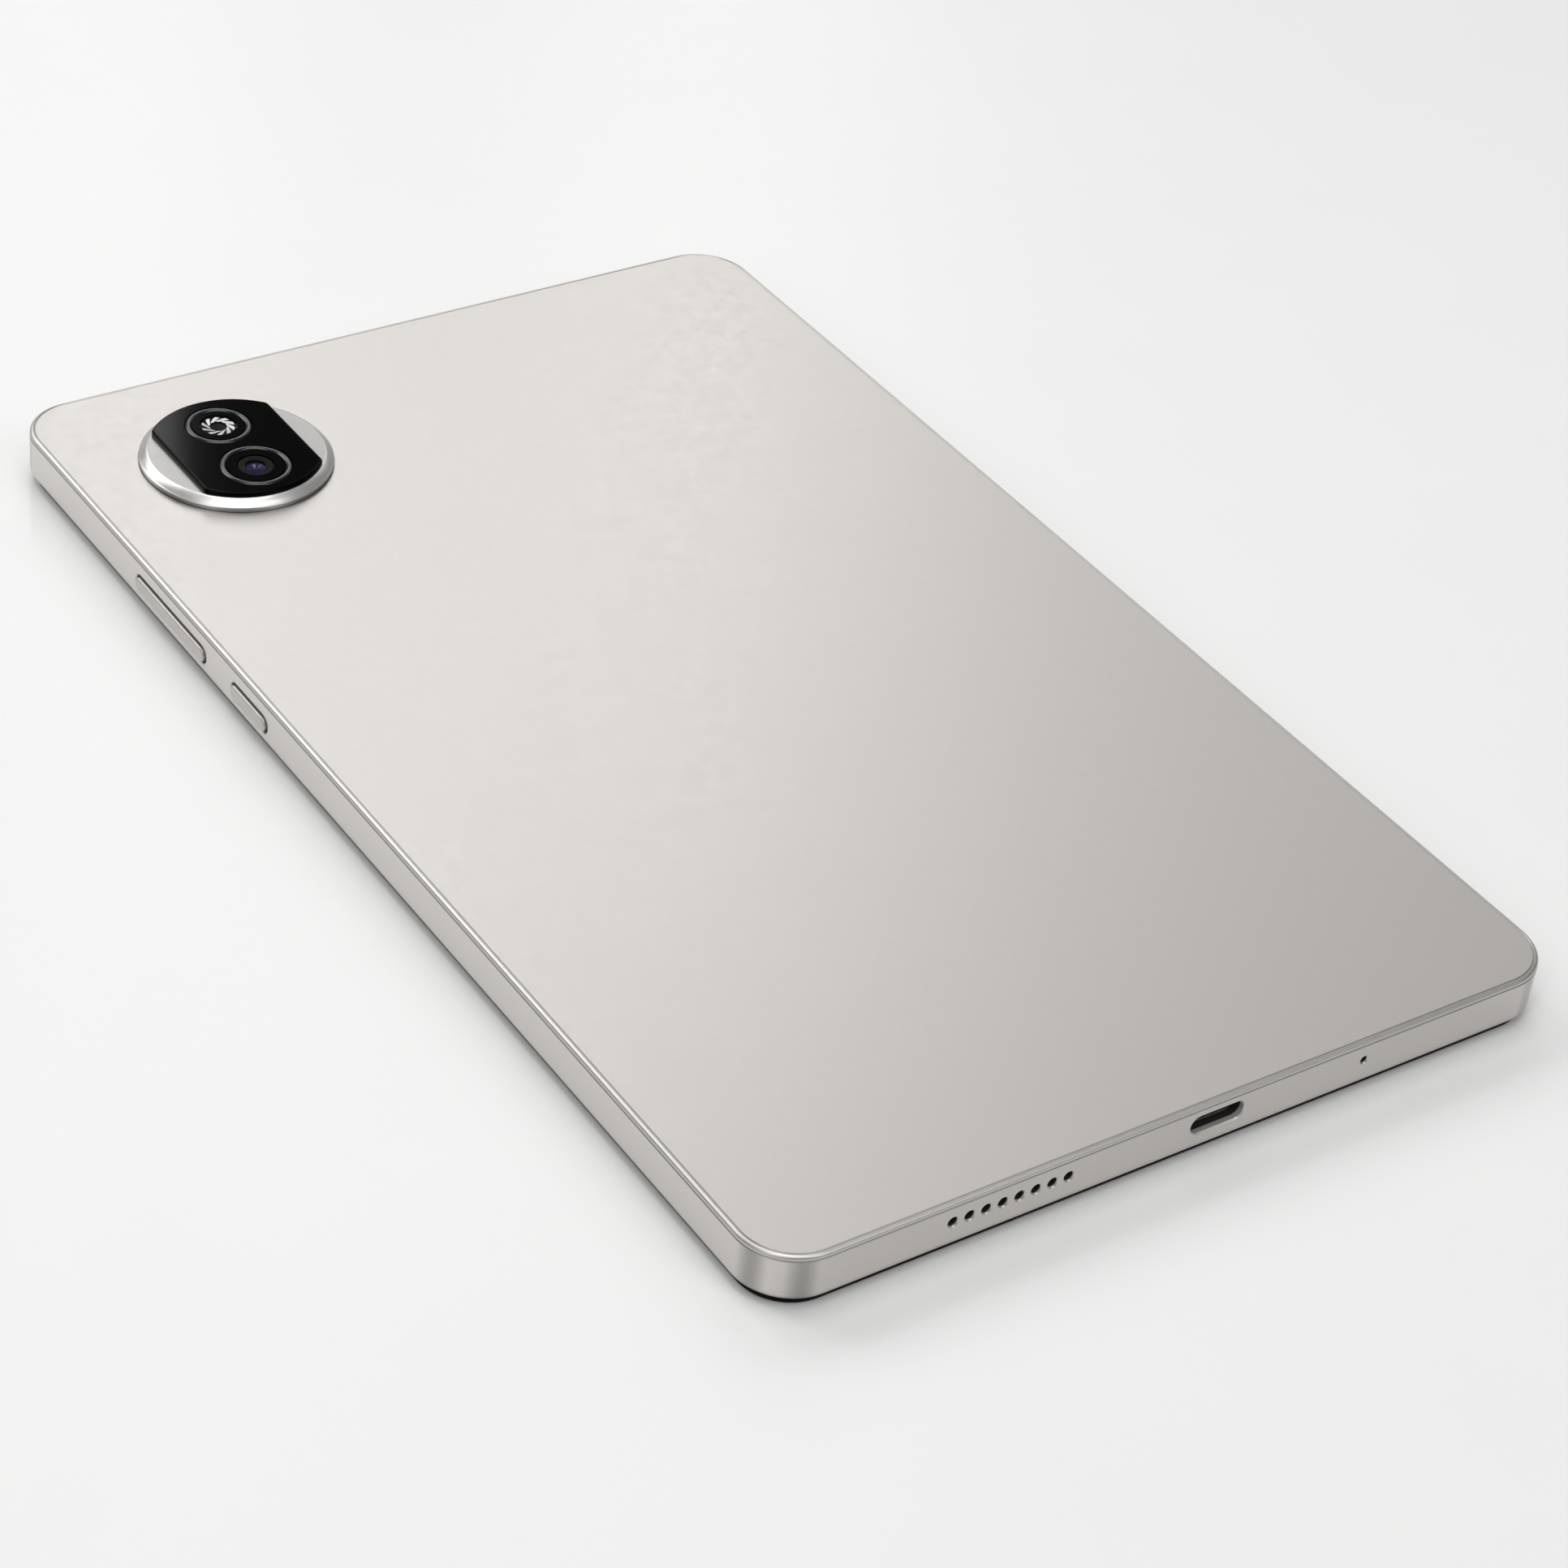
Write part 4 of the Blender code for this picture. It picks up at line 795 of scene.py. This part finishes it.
def island_profile(radius, low_z, back_z, top_z):
    """(radius, z, finish of the strip that follows) from the web's middle to the top's middle."""
    base_z = back_z - SEAT_DEPTH + SEAT_CLEARANCE
    web_z = top_z - ISLAND_WEB
    rim_z = back_z + RIM_HEIGHT
    satin, polish = range(2)
    profile = [
        (0.0, web_z, satin),
        (ISLAND_BORE, web_z, satin),
        (ISLAND_BORE, low_z, satin),
        (SPIGOT_RADIUS, low_z, satin),
        (SPIGOT_RADIUS, base_z, satin),
        (radius, base_z, satin),
        (radius, rim_z - SUPPORT, satin),
    ]
    shoulder = arc((radius - SHOULDER_RADIUS, rim_z), SHOULDER_RADIUS, 0, SHOULDER_TURN, SHOULDER_STEPS)
    for r, z in shoulder:
        profile.append((r, z, polish))
    start_r, start_z = shoulder[-1]
    for i in range(BEVEL_STEPS - 1, -1, -1):
        share = i / BEVEL_STEPS
        r = TOP_RADIUS + (start_r - TOP_RADIUS) * share
        z = top_z - (top_z - start_z) * share ** BEVEL_CURVE
        profile.append((r, z, polish if i else satin))
    profile += [
        (TOP_RADIUS - SUPPORT, top_z, satin),
        (0.0, top_z, satin),
    ]
    return profile


def build_island():
    """The round metal island: straight rim, rounded shoulder, polished bevel and satin top."""
    low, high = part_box("camera_ring")
    back_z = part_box("rear_housing")[1].z
    profile = island_profile((high.x - low.x) / 2, low.z, back_z, high.z)
    centre = centre_of("camera_ring")
    bm = bmesh.new()
    lathe(bm, [(r, z) for r, z, _ in profile], centre, ISLAND_STEPS, [finish for _, _, finish in profile])
    island = make_object("island_disc", bm, [ISLAND_SATIN, ISLAND_POLISH])
    passage = circle(LENS_PASSAGE_RADIUS, 64)
    place = (centre.x, centre_of("main_lens_ring").y)
    bm = bmesh.new()
    loft(bm, [
        level(passage, place, high.z - ISLAND_WEB - CUT_OVERSHOOT),
        level(passage, place, high.z + CUT_OVERSHOOT),
    ])
    cut(island, [make_object("cutter", bm)])
    stand_in(island, "tablet", "island_metal", "camera_ring")


def ring_radii(node):
    """Inner and outer radius of a lens ring."""
    low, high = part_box(node)
    outer = (high.x - low.x) / 2
    return outer - RING_WIDTH, outer


def build_window():
    """The black camera glass with its rounded edge, two lens holes and two ring grooves."""
    low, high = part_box("camera_window")
    centre = centre_of("camera_window")
    radius = (high.y - low.y) / 2
    half_width = (high.x - low.x) / 2
    profile = [(0.0, low.z), (0.0, high.z - WINDOW_EDGE - SUPPORT)]
    profile += arc((WINDOW_EDGE, high.z - WINDOW_EDGE), WINDOW_EDGE, 180, 90, 7)
    profile.append((WINDOW_EDGE + SUPPORT, high.z))
    bm = bmesh.new()
    loft(bm, [
        level(chord_disc(radius - inset, half_width - inset, WINDOW_CORNER - inset), centre, z)
        for inset, z in profile
    ])
    window = make_object("window_glass", bm, [CAMERA_GLASS])

    cutters = []
    floor_z = high.z - RING_GROOVE_DEPTH
    above = high.z + CUT_OVERSHOOT
    hole = circle(LENS_HOLE_RADIUS, LENS_STEPS)
    for node in ("main_lens_ring", "iris_ring"):
        place = centre_of(node)
        inner, outer = ring_radii(node)
        inside = circle(inner - RING_SLACK, RING_GROOVE_STEPS)
        outside = circle(outer + RING_SLACK, RING_GROOVE_STEPS)
        bm = bmesh.new()
        loft(bm, [
            level(inside, place, floor_z),
            level(inside, place, above),
            level(outside, place, above),
            level(outside, place, floor_z),
        ], closed=True)
        cutters.append(make_object("cutter", bm))
        bm = bmesh.new()
        loft(bm, [level(hole, place, low.z - CUT_OVERSHOOT), level(hole, place, above)])
        cutters.append(make_object("cutter", bm))
    cut(window, cutters)
    stand_in(window, "tablet", "camera_glass", "camera_window")


def build_lens_ring(node):
    """A glossy black trim ring with a rounded crown."""
    low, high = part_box(node)
    place = centre_of(node)
    inner, outer = ring_radii(node)
    half = (outer - inner) / 2
    rings = [level(circle(radius, RING_STEPS), place, low.z) for radius in (outer, inner)]
    for i in range(RING_CROWN_STEPS + 1):
        angle = math.pi * i / RING_CROWN_STEPS
        radius = inner + half - half * math.cos(angle)
        height = high.z - RING_RISE + RING_RISE * math.sin(angle)
        rings.append(level(circle(radius, RING_STEPS), place, height))
    bm = bmesh.new()
    loft(bm, rings, closed=True)
    ring = make_object(node + "_trim", bm, [LENS_TRIM])
    stand_in(ring, "tablet", "lens_trim", node)


def build_main_lens():
    """The lens: a grey cover rim, a stepped recess and a blue coated dome in the middle."""
    low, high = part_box("main_lens_glass")
    outer = (high.x - low.x) / 2
    floor_z = high.z - LENS_RECESS_DEPTH
    face, recess, coating, pupil = range(4)
    profile = [
        (0.0, low.z, face),
        (outer, low.z, face),
        (outer, high.z - LENS_BREAK, face),
        (outer - LENS_BREAK, high.z, face),
        (outer - 0.2 * MM, high.z, face),
        (LENS_RECESS_RADIUS + 0.12 * MM, high.z - 0.04 * MM, recess),
        (LENS_RECESS_RADIUS, high.z - 0.1 * MM, recess),
        (LENS_RECESS_RADIUS - 0.06 * MM, floor_z, recess),
        (LENS_DOME_RADIUS, floor_z, coating),
    ]
    for i in range(LENS_DOME_STEPS - 1, -1, -1):
        share = i / LENS_DOME_STEPS
        radius = LENS_DOME_RADIUS * share
        height = floor_z + LENS_DOME_RISE * (1 - share ** 2)
        profile.append((radius, height, pupil if radius < LENS_PUPIL_RADIUS else coating))
    bm = bmesh.new()
    lathe(bm, [(r, z) for r, z, _ in profile], centre_of("main_lens_glass"), LENS_STEPS,
          [finish for _, _, finish in profile])
    lens = make_object("main_lens_stack", bm, [LENS_FACE, LENS_RECESS, LENS_COATING, LENS_PUPIL])
    stand_in(lens, "tablet", "lens_glass", "main_lens_glass")


def build_iris_seat(low, high, place, outer):
    """The dark round seat behind the iris blades, with a pit in the middle."""
    seat_z = high.z - IRIS_SEAT_DEPTH
    bm = bmesh.new()
    lathe(bm, [
        (0.0, low.z),
        (outer, low.z),
        (outer, high.z - IRIS_BREAK),
        (outer - IRIS_BREAK, high.z),
        (outer - IRIS_RIM, high.z),
        (outer - IRIS_RIM - IRIS_BREAK, seat_z),
        (IRIS_PIT_RADIUS, seat_z),
        (IRIS_PIT_RADIUS - 0.1 * MM, seat_z - IRIS_PIT_DEPTH),
        (0.0, seat_z - IRIS_PIT_DEPTH),
    ], place, LENS_STEPS)
    seat = make_object("iris_seat", bm, [LENS_RECESS])
    stand_in(seat, "tablet", "iris_metal", "iris_disc")


def build_iris_blades(seat_z, place, outer):
    """Silver blades turned evenly round the dark middle, each a little higher along its middle."""
    blade = [
        Vector((outer - 0.2 * MM, -0.62 * MM, 0.0)),
        Vector((outer - 0.14 * MM, 0.1 * MM, 0.0)),
        Vector((outer - 0.5 * MM, 0.42 * MM, 0.0)),
        Vector((1.0 * MM, 1.02 * MM, 0.0)),
        Vector((1.1 * MM, 0.62 * MM, 0.0)),
    ]
    rises = [0.05 * MM, 0.11 * MM, 0.13 * MM, 0.11 * MM, 0.05 * MM]
    bm = bmesh.new()
    for i in range(IRIS_BLADES):
        turn = Matrix.Rotation(2 * math.pi * i / IRIS_BLADES, 3, "Z")
        foot = Vector((place.x, place.y, seat_z + BLADE_LIFT))
        base = [bm.verts.new(foot + turn @ p) for p in blade]
        top = [
            bm.verts.new(Vector((place.x, place.y, seat_z + rise)) + turn @ (p * BLADE_TAPER))
            for p, rise in zip(blade, rises)
        ]
        bm.faces.new(base)
        bm.faces.new(top)
        for j in range(len(base)):
            k = (j + 1) % len(base)
            bm.faces.new((base[j], base[k], top[k], top[j]))
    blades = make_object("iris_blades", bm, [IRIS_SILVER])
    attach(blades, "tablet")


def build_iris():
    """A plain camera iris in the upper ring."""
    low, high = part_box("iris_disc")
    place = centre_of("iris_disc")
    outer = (high.x - low.x) / 2
    build_iris_seat(low, high, place, outer)
    build_iris_blades(high.z - IRIS_SEAT_DEPTH, place, outer)


# ---- USB socket ----

def build_usb_shell():
    """The thin steel shell of the socket, with a bevelled lip."""
    low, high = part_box("usb_shell")
    middle = centre_of("usb_shell")
    centre = (middle.x, middle.z)
    length = high.x - low.x
    height = high.z - low.z
    outer = stadium(length, height, 16)
    outer_lip = stadium(length - 2 * USB_LIP, height - 2 * USB_LIP, 16)
    inner = stadium(length - 2 * USB_WALL, height - 2 * USB_WALL, 16)
    bm = bmesh.new()
    loft(bm, [
        facing_y(outer, centre, high.y),
        facing_y(outer, centre, low.y + USB_LIP),
        facing_y(outer_lip, centre, low.y),
        facing_y(inner, centre, low.y + USB_LIP),
        facing_y(inner, centre, high.y),
    ], closed=True)
    shell = make_object("usb_socket_shell", bm, [STEEL])
    stand_in(shell, "tablet", "steel", "usb_shell")


def build_usb_tongue():
    """The black tongue on its block, at the back of the shell."""
    shell_low, shell_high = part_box("usb_shell")
    low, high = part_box("usb_tongue")
    middle = centre_of("usb_shell")
    centre = (middle.x, middle.z)
    base_y = high.y - TONGUE_BLOCK
    room = 2 * (USB_WALL + TONGUE_BLOCK_GAP)
    block = stadium(shell_high.x - shell_low.x - room, shell_high.z - shell_low.z - room, 16)
    blade = rounded_rectangle(TONGUE_HALF_LENGTH, TONGUE_HALF_THICKNESS, TONGUE_CORNER, 8)
    tip = rounded_rectangle(TONGUE_HALF_LENGTH - 0.2 * MM, TONGUE_HALF_THICKNESS - 0.14 * MM,
                            TONGUE_CORNER, 8)
    bm = bmesh.new()
    loft(bm, [facing_y(block, centre, high.y), facing_y(block, centre, base_y)])
    loft(bm, [
        facing_y(blade, centre, base_y + 0.02 * MM),
        facing_y(blade, centre, low.y + TONGUE_TIP),
        facing_y(tip, centre, low.y),
    ])
    tongue = make_object("usb_socket_tongue", bm, [PLASTIC])
    stand_in(tongue, "tablet", "black_plastic", "usb_tongue")


def build_usb_contacts():
    """A row of gilt contacts on each side of the tongue."""
    middle = centre_of("usb_shell")
    tip_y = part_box("usb_tongue")[0].y
    bm = bmesh.new()
    for side in (-1, 1):
        z = middle.z + side * (TONGUE_HALF_THICKNESS + CONTACT_PAD[2] / 2)
        for i in range(CONTACTS):
            x = middle.x + (i - (CONTACTS - 1) / 2) * CONTACT_PITCH
            place = Matrix.Translation((x, tip_y + CONTACT_SETBACK, z))
            bmesh.ops.create_cube(bm, size=1.0, matrix=place @ Matrix.Diagonal((*CONTACT_PAD, 1.0)))
    contacts = make_object("usb_contacts", bm, [GOLD])
    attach(contacts, "tablet")


# ---- studio ----

def build_floor():
    """A plain pale floor."""
    bm = bmesh.new()
    bmesh.ops.create_grid(bm, x_segments=1, y_segments=1, size=FLOOR_HALF_SIZE)
    floor = make_object("studio_floor", bm, [FLOOR_GLOSS])
    floor.location.z = -FLOOR_DROP


def softbox(name, heading, elevation, distance, size, radiance):
    """A rectangular light aimed at the tablet. Heading runs from +Y towards +X."""
    light = bpy.data.lights.new(name, "AREA")
    light.shape = "RECTANGLE"
    light.size, light.size_y = size
    light.energy = radiance * math.pi * size[0] * size[1]
    item = bpy.data.objects.new(name, light)
    h = math.radians(heading)
    e = math.radians(elevation)
    direction = Vector((math.sin(h) * math.cos(e), math.cos(h) * math.cos(e), math.sin(e)))
    item.location = direction * distance
    item.rotation_mode = "QUATERNION"
    item.rotation_quaternion = direction.to_track_quat("Z", "Y")
    item.visible_camera = False
    bpy.context.scene.collection.objects.link(item)


def build_lights():
    """A dim pale room, soft panels behind and over the tablet, and one on each other side."""
    world = bpy.data.worlds.new("studio_world")
    world.use_nodes = True
    background = world.node_tree.nodes["Background"]
    background.inputs["Color"].default_value = (1.0, 1.0, 1.0, 1.0)
    background.inputs["Strength"].default_value = ROOM_LIGHT
    bpy.context.scene.world = world
    for name, light in SOFTBOXES.items():
        softbox(name, *light)


def build_camera():
    """The camera at the photograph's angle."""
    data = bpy.data.cameras.new("photo_camera")
    data.lens = CAMERA_LENS
    data.sensor_width = CAMERA_SENSOR
    data.clip_start = 0.01
    data.clip_end = 20.0
    camera = bpy.data.objects.new("photo_camera", data)
    h = math.radians(CAMERA_HEADING)
    e = math.radians(CAMERA_ELEVATION)
    forward = Vector((math.sin(h) * math.cos(e), math.cos(h) * math.cos(e), -math.sin(e)))
    camera.location = CAMERA_TARGET - forward * CAMERA_DISTANCE
    camera.rotation_mode = "QUATERNION"
    roll = Quaternion((0.0, 0.0, 1.0), math.radians(CAMERA_ROLL))
    camera.rotation_quaternion = forward.to_track_quat("-Z", "Y") @ roll
    bpy.context.scene.collection.objects.link(camera)
    bpy.context.scene.camera = camera


build_camera()
finish_frame_nodes()
build_housing()
build_cover_glass()
build_key("volume_key")
build_key("power_key")
build_island()
build_window()
build_lens_ring("main_lens_ring")
build_lens_ring("iris_ring")
build_main_lens()
build_iris()
build_usb_shell()
build_usb_tongue()
build_usb_contacts()
build_floor()
build_lights()
bpy.context.scene.view_settings.view_transform = "Standard"
